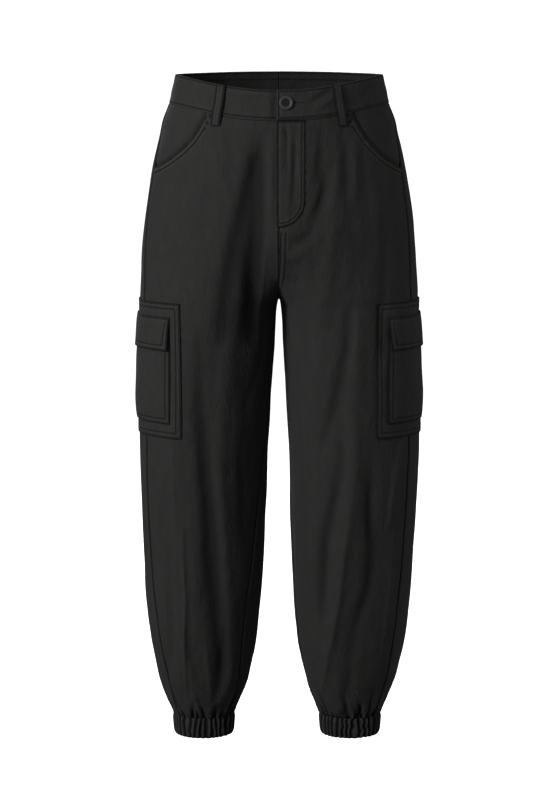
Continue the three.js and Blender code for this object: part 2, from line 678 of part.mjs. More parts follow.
// The pocket is flat along its seams and its mouth, and full in the middle.
function bagPuff(share, v) {
  const across = 1 - Math.abs(share) ** PUFF.sideFade;
  const low = clamp01((v - PUFF.bottomFrom) / (1 - PUFF.bottomFrom));
  return BAG.puff * across * smooth(v / PUFF.topFade) * (1 - low ** PUFF.bottomFade);
}
const cargoBag = (side) =>
  legPatch(side, {
    rows: shares(8),
    columns: BAG_COLUMNS,
    across: (share) => share * BAG.half,
    height: (v) => lerp(BAG.top, BAG.bottom, v),
    out: (share, v) => BASE_OUT + GAP + bagPuff(share, v),
    thick: CLOTH,
  });

// The flap is sewn along its top edge and stands off the pocket below.
const cargoFlap = (side) =>
  legPatch(side, {
    rows: shares(5),
    columns: spread(10),
    across: (share, v) => share * (FLAP.half - FLAP.taper * v),
    height: (v) => lerp(FLAP.top, FLAP.bottom, v),
    out: (share, v) => BASE_OUT + GAP + FLAP.lift * v ** FLAP.bow,
    thick: FLAP_CLOTH,
  });

// The cuff: a ring of doubled cloth that its elastic draws into gathers, over a plain inside.
function cuff(side) {
  const count = CUFF_GATHERS * CUFF_STEPS;
  const middle = side * read(LEG, "middle", LEG_END) + lean((LEG_END + CUFF_END) / 2);
  const middleY = read(LEG, "middleY", LEG_END);
  const half = read(LEG, "half", LEG_END);
  const depth = read(LEG, "depth", LEG_END);
  const [broad, narrow] = CUFF_WAVES;
  const ring = (steps, { down, grow, gather = 0 }) =>
    Array.from({ length: steps + 1 }, (_, i) => {
      const turn = (2 * Math.PI * (i % steps)) / steps;
      const slip = broad.size * Math.sin(broad.count * turn + side);
      const more = narrow.size * Math.sin(narrow.count * turn);
      const wave = Math.sin(CUFF_GATHERS * turn + slip + more);
      const out = grow + gather * CUFF_GATHER_DEPTH * wave;
      const x = middle - (half + out) * Math.cos(turn);
      const y = middleY - (depth + out) * Math.sin(turn);
      return new THREE.Vector3(x, y, LEG_END - down);
    });
  const outer = CUFF_OUTER.map((row) => ring(count, row));
  const inner = CUFF_INNER.map((row) => ring(count / 2, row));
  return wall(outer, inner, true);
}

for (const [side, name] of [[-1, "right"], [1, "left"]]) {
  addPiece("front_panel_" + name, frontPanel(side));
  addPiece("back_panel_" + name, backPanel(side));
  addPiece("hip_pocket_facing_" + name, hipFacing(side));
  addPiece("cargo_base_" + name, cargoBase(side));
  addPiece("cargo_pocket_" + name, cargoBag(side));
  addPiece("cargo_flap_" + name, cargoFlap(side));
  addPiece("cuff_" + name, cuff(side));
}
addPiece("fly_lap", flyLap());
addPiece("waistband_right", waistband(-1));
addPiece("waistband_left", toGeometry(toSolid(waistband(1)).subtract(buttonhole())));
for (const place of LOOP_PLACES) addPiece(place.name, beltLoop(place));
addPiece("button", button(), "#1c1c1b", 0.45);

export default group;
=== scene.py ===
"""Cargo trousers with elasticated cuffs in black cotton twill, hollow and filled out as when they are worn.

Shapes are worked out in millimetres in the part's own frame and become metres when a mesh is made.
+Z is up, the front faces -Y, and +X is the wearer's left. A side is -1 for the wearer's right and 1 for the left.
"""

from math import atan2, ceil, cos, pi, radians, sin, sqrt, tau

import bpy
import numpy as np
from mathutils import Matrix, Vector


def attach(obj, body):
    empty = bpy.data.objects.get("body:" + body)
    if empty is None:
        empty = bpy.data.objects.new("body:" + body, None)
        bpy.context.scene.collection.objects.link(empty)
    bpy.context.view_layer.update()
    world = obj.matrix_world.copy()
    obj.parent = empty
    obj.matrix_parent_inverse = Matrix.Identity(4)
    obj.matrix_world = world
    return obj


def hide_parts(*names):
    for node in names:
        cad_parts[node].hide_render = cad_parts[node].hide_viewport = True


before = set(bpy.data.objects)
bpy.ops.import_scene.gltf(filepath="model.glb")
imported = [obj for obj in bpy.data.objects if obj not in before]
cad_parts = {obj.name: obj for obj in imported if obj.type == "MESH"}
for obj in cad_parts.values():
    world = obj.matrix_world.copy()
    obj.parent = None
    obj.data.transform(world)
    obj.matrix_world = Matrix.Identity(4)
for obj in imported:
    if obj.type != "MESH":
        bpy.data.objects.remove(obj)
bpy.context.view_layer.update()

MM = 0.001
SIDES = {"right": -1, "left": 1}

# Cloth
CLOTH = 1.2
BAND_CLOTH = 2.4
FLAP_CLOTH = 1.6
LOOP_CLOTH = 1.6
GAP = 0.3
ON_TOP = 0.8
BAND_PROUD = 0.6
UNDERLAP_GAP = 0.5
UNDERLAP_OUT = BAND_PROUD - BAND_CLOTH - UNDERLAP_GAP

# Waist
RIM_SIDE, RIM_FRONT_DIP, RIM_BACK_RISE, RIM_DIP_POWER = 20, 21.3, 3, 2.5
BAND_HEIGHT = 42

# Crotch
CROTCH_Z = -312
FRONT_CURVE, BACK_CURVE, BODY_CURVE, BODY_CURVE_BELOW = 110, 150, 110, 60
CENTRE_REACH = radians(50)
LEAN, LEAN_TOP = -3.2, -540
LEFT_FULLER = 1.4

# Legs and cuffs
LEG_END, CUFF_END = -949, -981
CUFF_GATHERS = 34
LEG_GATHERS = 26
LEG_GATHER_TOP = -872
SHORT_PLEAT = 17  # how high the short pleats between the gathers rise above each cuff

# Hip pockets
SCOOP_TOP_X = 105
SCOOP_BEND = (126, -87)
SCOOP_END_Z = -116
FACING_DEPTH = 2.3
FACING_UNDER = 13
SHARED_Z = -136

# Fly
FLY_LEFT, FLY_RIGHT, FLY_BEND_Z, FLY_END_Z = -3, 38, -158, -197
FLY_CLOTH = 1.1

# Cargo pockets
POCKET_TURN = radians(157.5)
BASE = {"top": -310.5, "bottom": -510.5, "half": 85}
BAG = {"top": -345, "bottom": -489.5, "half": 67, "puff": 3.8}
FLAP = {"top": -331, "bottom": -380, "half": 68, "taper": 3, "lift": 5.2}

# Belt loops
LOOP_HALF, LOOP_BELOW, LOOP_LIFT = 7, 17, 2.2
LOOPS = {
    "belt_loop_front_right": (-1, 32),
    "belt_loop_front_left": (1, 32),
    "belt_loop_back_right": (-1, 128),
    "belt_loop_back_left": (1, 128),
    "belt_loop_centre_back": (1, 180),
}

# Button
BUTTON_X, BUTTON_Z, BUTTON_R = 10, -19.5, 10
EYE_R, SLIT_END_X, SLIT_HALF = 2.6, 38, 0.8
UNDERLAP_X = 24

# The body above the crotch: half the width, and the depth in front of and behind the middle.
HIPS = {
    "z": (26, 0, -20, -47, -69, -92, -114, -136, -180, -225, -270, -314, -380),
    "half": (151.2, 157, 161.3, 171.2, 176.2, 181.9, 186.6, 190.5, 197.5, 202.5, 206, 207.7, 207.2),
    "front": (107, 112, 114, 117, 119, 121, 122, 123, 124, 124, 123, 121, 116),
    "back": (109, 113, 116, 121, 126, 131, 135, 138, 141, 140, 135, 128, 120),
}

# One leg: the middle of its section from the centre line and from front to back, half its width and its depth.
LEG = {
    "z": (-200, -312, -317, -337, -382, -427, -473, -541, -610, -679, -748, -795, -841, -888, -912, -935, -949),
    "middle": (100, 103.9, 105, 106, 106.9, 108.6, 110.6, 112.9, 113.1, 113, 112.9, 112.7, 112.2, 112, 111.4,
               112, 111.7),
    "half": (100, 103.6, 102.7, 101.5, 100.2, 98.9, 98.3, 96.9, 95.1, 92.2, 88.5, 84.9, 78.9, 69.2, 62.1, 52.6,
             47.2),
    "middle_y": (10, 8, 8, 7.6, 7, 6, 5, 5, 6, 8, 10, 12, 13, 14, 14.6, 15, 15),
    "depth": (118, 114, 113.6, 112, 108.5, 105, 101, 96.5, 92.5, 89.5, 86.5, 83.5, 77.5, 67.5, 59.5, 49.8, 43.6),
}

# Where the seams run, in degrees round the leg.
SEAMS = {
    "z": (0, -30, -116, -225, -312, -400, -480, -574, -703, -768, -833, -899, -949),
    "side_right": (176, 174.3, 165.8, 160.2, 156.7, 153, 151, 150, 148, 144.6, 142, 139.5, 139),
    "side_left": (173, 171.5, 156.5, 153, 151.1, 148, 145, 143.2, 141.4, 139, 137.5, 138.5, 139),
    "inseam_right": (0, 0, 0, 0, 0, 6, 15, 26, 36, 41.5, 43, 38, 35),
    "inseam_left": (0, 0, 0, 0, 0, 3, 6, 9, 12, 14, 15, 14, 13),
}

# The large folds that the solid part has too: how far out, half the width, and where from and to in degrees
# round the leg and height.
FOLDS = {
    -1: (
        (-5, 20, 96, -430, 68, -925),
        (3.5, 18, 118, -470, 98, -900),
        (-3, 22, 62, -170, 52, -330),
        (-4, 22, 262, -420, 285, -880),
        (-4, 16, 330, -285, 285, -350),
    ),
    1: (
        (5, 19, 104, -400, 62, -910),
        (-4.5, 18, 88, -420, 44, -820),
        (-4, 18, 126, -560, 96, -930),
        (-4.5, 17, 84, -70, 66, -205),
        (-4, 22, 268, -430, 290, -860),
        (-4, 16, 328, -290, 282, -360),
    ),
}


def clamp01(t):
    return np.clip(t, 0, 1)


def smooth(t):
    t = clamp01(t)
    return t * t * (3 - 2 * t)


def lerp(a, b, t):
    return a + (b - a) * t


def read(table, column, z):
    """A table's column at height z, on a smooth curve through its rows, which run from the top down."""
    zs, v = np.array(table["z"], float), np.array(table[column], float)
    k = np.arange(len(zs))
    after, before = np.minimum(k + 1, len(zs) - 1), np.maximum(k - 1, 0)
    slope = (v[after] - v[before]) / (zs[after] - zs[before])
    z = np.clip(z, zs[-1], zs[0])
    i = np.clip(np.searchsorted(-zs, -z, side="right") - 1, 0, len(zs) - 2)
    step = zs[i + 1] - zs[i]
    t = (z - zs[i]) / step
    p, q, m, n = v[i], v[i + 1], slope[i] * step, slope[i + 1] * step
    return p + t * m + t**2 * (3 * (q - p) - 2 * m - n) + t**3 * (2 * (p - q) + m + n)


def side_name(side):
    return "left" if side > 0 else "right"


def side_turn(side, z):
    return np.radians(read(SEAMS, "side_" + side_name(side), z))


def inseam_turn(side, z):
    return np.radians(read(SEAMS, "inseam_" + side_name(side), z))


# The surface


def hip_point(side, sweep, z):
    """The body's section at height z. sweep is 0 at the centre front and pi at the centre back."""
    depth = np.where(np.cos(sweep) > 0, read(HIPS, "front", z), read(HIPS, "back", z))
    x = side * read(HIPS, "half", z) * np.sin(sweep)
    return np.stack(np.broadcast_arrays(x, -depth * np.cos(sweep), z), -1)


def sweep_at(turn):
    """The sweep round the body that lies over a turn round the leg."""
    half_round = (1 - np.cos(turn)) / 2
    return np.where(turn <= pi, np.arcsin(half_round), pi - np.arcsin(half_round))


def turn_of_x(x, z):
    return np.arccos(1 - 2 * x / read(HIPS, "half", z))


def sweep_of_x(x, z):
    return np.arcsin(x / read(HIPS, "half", z))


def leg_share(turn, z):
    """How far the body has become two legs: 0 is body, 1 is leg."""
    from_centre = np.where(turn <= pi, turn, tau - turn)
    curve = np.where(turn <= pi, FRONT_CURVE, BACK_CURVE)
    t = clamp01((CROTCH_Z + curve - z) / curve)
    at_centre = 1 - np.sqrt(1 - t * t)
    elsewhere = smooth((CROTCH_Z + BODY_CURVE - z) / (BODY_CURVE + BODY_CURVE_BELOW))
    return lerp(at_centre, elsewhere, smooth(from_centre / CENTRE_REACH))


def plain_point(side, turn, z):
    """The outer surface with no folds. turn is 0 at the centre front or the leg's inside, pi at its outer side."""
    turn = np.where(turn > tau, turn - tau, np.maximum(0, turn))
    lean = LEAN * clamp01((LEAN_TOP - z) / (LEAN_TOP - CUFF_END))
    fuller = LEFT_FULLER * smooth((CROTCH_Z - z) / 260) * smooth((z - LEG_END) / 140) if side > 0 else 0
    x = side * (read(LEG, "middle", z) - (read(LEG, "half", z) + fuller) * np.cos(turn)) + lean
    y = read(LEG, "middle_y", z) - read(LEG, "depth", z) * np.sin(turn)
    leg = np.stack(np.broadcast_arrays(x, y, z), -1)
    return lerp(hip_point(side, sweep_at(turn), z), leg, leg_share(turn, z)[..., None])


def outward(side, surface, turn, z):
    """Which way is out from a surface, given as a function of side, turn and height."""
    turn_step, z_step = radians(0.6), 0.6
    round_it = surface(side, turn + turn_step, z) - surface(side, turn - turn_step, z)
    up = surface(side, turn, z + z_step) - surface(side, turn, z - z_step)
    n = side * np.cross(round_it, up)
    return n / np.linalg.norm(n, axis=-1, keepdims=True)


def rim_z(sweep):
    front = RIM_SIDE - RIM_FRONT_DIP * np.abs(np.cos(sweep)) ** RIM_DIP_POWER
    return np.where(np.cos(sweep) > 0, front, RIM_SIDE + RIM_BACK_RISE * np.cos(sweep) ** 2)


def band_bottom_z(sweep):
    return rim_z(sweep) - BAND_HEIGHT


CENTRE_FLAT = 13  # the folds fade out this near to the centre seams


class Lengths:
    """Distances round the cloth from the centre front, or from a leg's inside, on one side."""

    def __init__(self, side):
        self.z = np.linspace(24, LEG_END, 200)
        self.turn = np.linspace(0, tau, 361)
        z, turn = np.meshgrid(self.z, self.turn, indexing="ij")
        steps = np.linalg.norm(np.diff(plain_point(side, turn, z), axis=1), axis=2)
        self.s = np.concatenate([np.zeros((len(self.z), 1)), np.cumsum(steps, axis=1)], axis=1)

    def _rows(self, z):
        f = np.clip((self.z[0] - z) / (self.z[0] - self.z[-1]), 0, 1) * (len(self.z) - 1)
        i = np.minimum(f.astype(int), len(self.z) - 2)
        return i, f - i

    def distance(self, turn, z):
        turn, z = np.broadcast_arrays(turn, z)
        i, fz = self._rows(z)
        past = np.where(turn > tau, self.s[i, -1], 0)
        g = np.where(turn > tau, turn - tau, turn) / tau * 360
        j = np.clip(g.astype(int), 0, 359)
        ft = g - j
        low = lerp(self.s[i, j], self.s[i, j + 1], ft)
        high = lerp(self.s[i + 1, j], self.s[i + 1, j + 1], ft)
        return past + lerp(low, high, fz)

    def turn_at(self, s, z):
        s, z = np.broadcast_arrays(np.asarray(s, float), np.asarray(z, float))
        i, f = self._rows(z)
        out = np.empty(s.shape)
        for at in np.ndindex(s.shape):
            row = lerp(self.s[i[at]], self.s[i[at] + 1], f[at])
            out[at] = np.interp(s[at], row, self.turn)
        return out


LENGTHS = {side: Lengths(side) for side in SIDES.values()}


# Folds, creases and the cloth's unevenness


def unevenness(a, b, scale, seed):
    """Smooth noise from -1 to 1 on a plane in millimetres, the same each time for a seed."""
    table = np.random.RandomState(seed).uniform(-1, 1, (64, 64))
    u, v = np.asarray(a) / scale + 31.7, np.asarray(b) / scale + 17.3
    i, j = np.floor(u).astype(int), np.floor(v).astype(int)
    fu, fv = smooth(u - i), smooth(v - j)
    at = lambda p, q: table[p % 64, q % 64]
    return lerp(lerp(at(i, j), at(i + 1, j), fu), lerp(at(i, j + 1), at(i + 1, j + 1), fu), fv)


# Creases: depth (out is positive), half width, then three places on each: the distance round the cloth
# from the centre front and the height. These are on the front.
CREASES = {
    -1: (
        (1.4, 9, 84, -52, 86, -90, 84, -150),
        (-1.2, 7, 70, -48, 70, -80, 66, -130),
        (1.2, 6, 10, -60, 9, -110, 11, -185),
        (-1.2, 12, 100, -130, 112, -180, 118, -270),
        (1.3, 10, 150, -130, 158, -190, 160, -290),
        (-1.8, 14, 150, -330, 148, -400, 138, -470),
        (1.5, 11, 128, -340, 125, -420, 118, -520),
        (-2.2, 10, 92, -500, 84, -600, 70, -700),
        (-1.8, 8, 138, -640, 134, -710, 120, -790),
        (1.6, 9, 156, -640, 150, -720, 138, -830),
        (2, 10, 170, -760, 158, -830, 138, -900),
        (-2, 8, 192, -800, 176, -860, 158, -925),
        (-2.4, 7, 96, -800, 86, -870, 74, -935),
        (1.6, 7, 72, -840, 66, -890, 58, -930),
        (-1.6, 9, 60, -330, 70, -400, 92, -470),
        (-1.4, 8, 30, -345, 44, -420, 60, -520),
        (1.8, 8, 216, -545, 218, -620, 215, -700),
        (-1.5, 7, 232, -560, 228, -640, 222, -730),
    ),
    1: (
        (-2, 4.5, 24, -44, 23, -110, 20, -185),
        (1.2, 4, 15, -48, 15, -100, 13, -170),
        (-1.8, 3.5, 4, -44, 9, -58, 18, -78),
        (-1.4, 3.5, 9, -44, 12, -90, 11, -150),
        (-2.8, 6, 62, -52, 60, -100, 55, -140),
        (2.4, 7, 84, -60, 84, -120, 74, -185),
        (-2.4, 6, 99, -50, 88, -72, 76, -96),
        (2, 5, 93, -58, 82, -80, 71, -104),
        (-2.6, 7, 98, -66, 99, -120, 96, -175),
        (1.6, 6, 112, -62, 114, -120, 112, -170),
        (-3.2, 7, 66, -112, 59, -160, 42, -200),
        (2, 5, 61, -128, 54, -158, 42, -180),
        (-3.8, 8, 50, -192, 38, -212, 14, -224),
        (2, 9, 40, -228, 28, -236, 14, -240),
        (-2.2, 7, 13, -248, 26, -252, 40, -247),
        (-1.6, 8, 8, -268, 22, -276, 40, -276),
        (1.8, 10, 92, -150, 98, -220, 100, -300),
        (-1.6, 8, 130, -70, 128, -120, 134, -190),
        (1.4, 10, 146, -130, 150, -190, 150, -280),
        (-1.8, 11, 96, -330, 92, -410, 84, -500),
        (1.8, 10, 152, -430, 150, -520, 148, -590),
        (-2, 10, 172, -540, 168, -640, 158, -740),
        (2, 9, 130, -640, 120, -700, 113, -760),
        (-2, 8, 100, -660, 90, -740, 78, -830),
        (2.2, 9, 112, -760, 98, -820, 80, -880),
        (-2.2, 7, 118, -860, 100, -895, 80, -925),
        (-1.8, 8, 186, -780, 168, -850, 140, -925),
        (1.8, 9, 222, -520, 214, -580, 206, -690),
        (-1.5, 8, 62, -480, 56, -580, 52, -680),
        (1.4, 9, 40, -560, 40, -660, 42, -760),
    ),
}

# Long soft folds: depth, half width, then the heights and the turns round the leg that each passes.
LONG_FOLDS = {
    -1: (
        (-10.5, 21, (-60, -104, -136, -172, -208, -245, -282, -320, -380), (47, 48.5, 49, 49.5, 49.5, 50, 49, 48.5, 47)),
        (-6, 15, (-90, -150, -185, -216, -245, -285, -330, -380), (50, 60, 64, 68, 71, 74, 75, 74)),
        (-2, 15, (-300, -394, -454, -515, -577, -638, -699, -761), (56, 56, 53.5, 46, 43, 41.5, 40.5, 40.5)),
        (2.2, 6, (-215, -260, -298, -337, -400), (38, 38, 40.5, 40, 39.5)),
        (-5.8, 11, (-340, -377, -422, -466, -519, -571, -632, -693, -755, -818, -920),
         (94, 94.5, 95, 93, 89.5, 86.5, 83, 79.5, 75.5, 72.5, 60)),
        (2.4, 10, (-370, -452, -512, -572, -633, -694, -756, -836), (75.5, 75.5, 73, 75, 70, 67, 64, 56.5)),
        (2.2, 10, (-340, -453, -512, -573, -633, -694, -755, -818, -900),
         (114, 114.5, 114.5, 112.5, 112, 107, 105.5, 107.5, 111)),
        (-2, 7, (-640, -696, -757, -821, -900), (121, 121.5, 122, 124, 126)),
        (3, 3.2, (-640, -694, -755, -818, -870, -915), (107, 107, 105.5, 107.5, 110, 113)),
        (1.6, 4, (-480, -520, -577, -640, -700), (117, 117.5, 116, 114, 113)),
        (2, 6, (-740, -803, -886, -938), (117, 111, 101, 96)),
        (1.5, 5, (-800, -850, -905, -940), (88, 84, 80, 77)),
    ),
    1: (
        (3.4, 11, (-270, -333, -377, -422, -474, -519, -571, -632, -693, -755, -819, -877, -930),
         (99.5, 96, 94.5, 93, 89.5, 89.5, 88.5, 84.5, 79.5, 75.5, 68, 56, 38)),
        (3, 3.6, (-600, -693, -755, -819, -877, -925), (87.5, 81, 77, 69.5, 57.5, 40)),
        (-4.4, 10, (-300, -355, -385, -414, -444, -482, -540), (91, 87.5, 84, 80, 75, 68.5, 56)),
        (3.2, 14, (-262, -319, -356, -386, -416, -454, -520), (57, 61, 62.5, 62, 58, 51, 38)),
        (4.2, 14, (-110, -180, -216, -252, -289, -350), (86, 80.5, 76, 72, 70, 67)),
        (-2.4, 10, (-180, -233, -291, -349, -420), (121, 120.5, 118, 115.5, 113)),
        (-3.4, 9, (-510, -564, -610, -665, -726, -800), (80, 77, 70, 61, 58.5, 57.5)),
        (-4.4, 10, (-520, -617, -679, -740, -793, -849, -920), (104, 103, 108, 103.5, 92.5, 87.5, 82)),
        (2.8, 4, (-500, -532, -577, -660), (136, 132, 126, 121)),
        (2, 5, (-640, -720, -800, -895), (129, 128, 125, 122)),
        (-1.6, 8, (-560, -660, -760, -850), (42, 40, 38, 36)),
    ),
}
FOLD_SHARE = {-1: 0.45, 1: 0.4}  # how much of the solid part's folds each leg's cloth shows

# Creases on the sides and the back, the same on both legs but mirrored: those under the seat, at the knee's back
# and down the calf.
BACK_CREASES = (
    (-2.4, 12, 470, -250, 430, -285, 380, -300),
    (-2, 9, 480, -292, 440, -318, 395, -330),
    (1.8, 10, 465, -272, 430, -302, 390, -315),
    (-1.6, 14, 400, -90, 405, -150, 410, -215),
    (1.4, 12, 360, -70, 365, -130, 372, -200),
    (-1.6, 12, 330, -110, 338, -180, 350, -260),
    (-2.4, 10, 350, -470, 400, -500, 450, -510),
    (-2.2, 9, 340, -520, 390, -545, 440, -560),
    (2, 9, 345, -495, 395, -522, 445, -535),
    (-2, 8, 352, -570, 400, -590, 436, -615),
    (-2.2, 12, 420, -620, 414, -700, 400, -790),
    (2, 11, 380, -600, 376, -690, 364, -790),
    (-2, 10, 350, -640, 342, -730, 326, -820),
    (2, 9, 330, -760, 312, -830, 288, -900),
    (-2.4, 8, 400, -780, 370, -850, 330, -925),
    (-2, 7, 300, -840, 280, -885, 256, -930),
    (1.8, 8, 440, -700, 420, -780, 380, -860),
    (-1.6, 9, 290, -540, 286, -640, 280, -740),
    (1.4, 8, 262, -560, 258, -660, 252, -760),
)


def crease_depth(s, z, creases):
    """How far the creases move the cloth out at places given by the distance round it and the height."""
    moved = np.zeros(np.shape(s))
    for depth, width, *ends in creases:
        p = np.array(ends, float).reshape(3, 2)
        low, high = p.min(axis=0) - 3 * width, p.max(axis=0) + 3 * width
        near = (s > low[0]) & (s < high[0]) & (z > low[1]) & (z < high[1])
        if not near.any():
            continue
        q = np.stack([s[near], z[near]], -1)
        t = np.linspace(0, 1, 17)[:, None]
        curve = (1 - t) ** 2 * p[0] + 2 * t * (1 - t) * (2 * p[1] - (p[0] + p[2]) / 2) + t**2 * p[2]
        away, along = nearest(q, curve)
        share = along / along_total(curve)
        size = np.sin(pi * np.clip(share, 0.0, 1.0)) ** 0.8
        moved[near] += depth * size * np.exp(-((away / (width * (0.75 + 0.5 * share))) ** 2))
    return moved


def along_total(line):
    return np.linalg.norm(np.diff(line, axis=0), axis=1).sum()


def nearest(q, line):
    """The distance of each point from a line of points on a plane, and how far along it the nearest place is."""
    best = np.full(len(q), 1e9)
    along = np.zeros(len(q))
    start = 0.0
    for a, b in zip(line[:-1], line[1:]):
        ab = b - a
        length = np.linalg.norm(ab)
        if length < 1e-9:
            continue
        t = np.clip((q - a) @ ab / length**2, 0, 1)
        d = np.linalg.norm(q - a - t[:, None] * ab, axis=1)
        better = d < best
        best[better] = d[better]
        along[better] = start + t[better] * length
        start += length
    return best, along


def fold_depth(side, turn, z):
    moved = np.zeros(np.broadcast(turn, z).shape)
    radius = (read(LEG, "half", z) + read(LEG, "depth", z)) / 2
    for depth, width, turn0, z0, turn1, z1 in FOLDS[side]:
        t = (z - z0) / (z1 - z0)
        away = (turn - np.radians(lerp(turn0, turn1, t))) * radius
        fold = depth * np.sin(pi * clamp01(t)) ** 0.7 * np.exp(-((away / width) ** 2))
        moved += FOLD_SHARE[side] * fold
    for depth, width, heights, turns in LONG_FOLDS[side]:
        t = (heights[0] - z) / (heights[0] - heights[-1])
        away = (turn - np.radians(np.interp(-z, -np.array(heights), turns))) * radius
        moved += depth * np.sin(pi * clamp01(t)) ** 0.6 * np.exp(-((away / width) ** 2))
    return moved


def gather_depth(side, turn, z):
    """Pleats where the leg is drawn into its cuff: each has its own place, length, slant and depth."""
    moved = np.zeros(np.broadcast(turn, z).shape)
    luck = np.random.RandomState(11 + side)
    up = z - LEG_END
    radius = (read(LEG, "half", z) + read(LEG, "depth", z)) / 2
    for k in range(LEG_GATHERS):
        middle = tau * (k + luck.uniform(-0.32, 0.32)) / LEG_GATHERS
        length = luck.uniform(14, 40) if k % 3 else luck.uniform(45, 100)
        slant, depth, width = luck.uniform(-0.4, 0.4), luck.uniform(1.8, 4.2), luck.uniform(1.9, 3.6)
        around = (turn - middle + pi) % tau - pi
        away = around * radius - slant * up
        wide = width * (1 + up / length)
        fade = smooth(1 - up / length)
        moved -= depth * fade * np.exp(-((away / wide) ** 2))
        moved += 0.35 * depth * fade * np.exp(-(((away - 1.7 * wide) / wide) ** 2))
    short = 1 - np.abs(np.sin(CUFF_GATHERS / 2 * turn + 1.2 * np.sin(3 * turn + side) + 0.9 * np.sin(7 * turn)))
    moved -= 3.4 * short * smooth(1 - up / (SHORT_PLEAT * (1 + 0.4 * np.sin(5 * turn))))
    return moved * (z < LEG_GATHER_TOP + 60)


def relief(side, turn, z):
    """How far the cloth of the body and legs stands out from the plain surface at a place."""
    turn, z = np.broadcast_arrays(np.asarray(turn, float), np.asarray(z, float))
    s = LENGTHS[side].distance(turn, z)
    moved = fold_depth(side, turn, z) + crease_depth(s, z, CREASES[side] + BACK_CREASES)
    moved += gather_depth(side, turn, z)
    moved += 0.8 * unevenness(s, z * 0.4, 30, 3 + side) + 0.35 * unevenness(s, z * 0.35, 13, 5 + side)
    from_centre = np.minimum(s, LENGTHS[side].distance(tau, z) - s)
    return moved * lerp(1, smooth(from_centre / CENTRE_FLAT), smooth((z - CROTCH_Z + 30) / 40))


def cloth_point(side, turn, z, out):
    turn, z = np.broadcast_arrays(turn, z)
    n = outward(side, plain_point, turn, z)
    p = plain_point(side, turn, z) + n * (relief(side, turn, z) + out)[..., None]
    return p


# Meshes


def places_along(length, rows, step):
    """Places from 0 to a length: even steps, and closer ones at both ends and beside rows this far from them."""
    close = np.concatenate([[0, 0.25, 0.6]] + [row + np.array([-1.4, -0.7, 0, 0.7, 1.4]) for row in rows])
    close = np.concatenate([close, length - close])
    even = np.arange(step, length, step)
    even = even[np.abs(even[:, None] - close).min(axis=1) > 0.45 * step]
    return np.unique(np.concatenate([close, even]).round(3))


def make_mesh(name, points, faces, uv, material, worn=None):
    """An object from points in millimetres and four-sided faces."""
    mesh = bpy.data.meshes.new(name)
    mesh.vertices.add(len(points))
    mesh.vertices.foreach_set("co", (np.asarray(points) * MM).ravel())
    mesh.loops.add(faces.size)
    mesh.loops.foreach_set("vertex_index", faces.ravel().astype(np.int32))
    mesh.polygons.add(len(faces))
    mesh.polygons.foreach_set("loop_start", np.arange(0, faces.size, 4, dtype=np.int32))
    layer = mesh.uv_layers.new(name="cloth")
    layer.data.foreach_set("uv", (np.asarray(uv) * MM)[faces.ravel()].astype(np.float32).ravel())
    if worn is not None:
        mesh.attributes.new("worn", "FLOAT", "POINT").data.foreach_set("value", worn.astype(np.float32))
    mesh.update(calc_edges=True)
    mesh.polygons.foreach_set("use_smooth", np.ones(len(faces), bool))
    mesh.materials.append(material)
    obj = bpy.data.objects.new(name, mesh)
    bpy.context.scene.collection.objects.link(obj)
    return obj


def quads(index):
    """The faces between neighbours in a grid of point numbers."""
    return np.stack([index[:-1, :-1], index[:-1, 1:], index[1:, 1:], index[1:, :-1]], -1).reshape(-1, 4)


def shell_faces(rows, columns, closed):
    """Faces of a closed wall whose outer points come first and whose inner points follow."""
    outer = np.arange(rows * columns).reshape(rows, columns)
    if closed:
        outer = np.concatenate([outer, outer[:, :1]], axis=1)
    inner = outer + rows * columns
    parts = [quads(outer), quads(inner)[:, ::-1]]
    parts += [quads(np.stack([inner[0], outer[0]])), quads(np.stack([outer[-1], inner[-1]]))]
    if not closed:
        parts += [quads(np.stack([outer[:, 0], inner[:, 0]])), quads(np.stack([inner[:, -1], outer[:, -1]]))]
    return np.concatenate(parts)


def shell(name, outer, inner, uv, material, worn=None, closed=False):
    rows, columns = outer.shape[:2]
    faces = shell_faces(rows, columns, closed)
    points = np.concatenate([outer.reshape(-1, 3), inner.reshape(-1, 3)])
    a, b, c, d = (points[faces[:, k]] for k in range(4))
    volume = (a * (np.cross(b, c) + np.cross(c, d))).sum()
    if volume < 0:
        faces = faces[:, ::-1]
    both = lambda v: np.concatenate([v.reshape(rows * columns, -1)] * 2)
    worn = None if worn is None else both(worn)[:, 0]
    return make_mesh(name, points, faces, both(uv), material, worn)


def edge_round(distance, thick):
    """How far an edge's outer face falls towards the middle of the cloth, near the edge."""
    t = clamp01(1 - distance / (thick / 2))
    return thick / 2 * (1 - np.sqrt(1 - t * t))


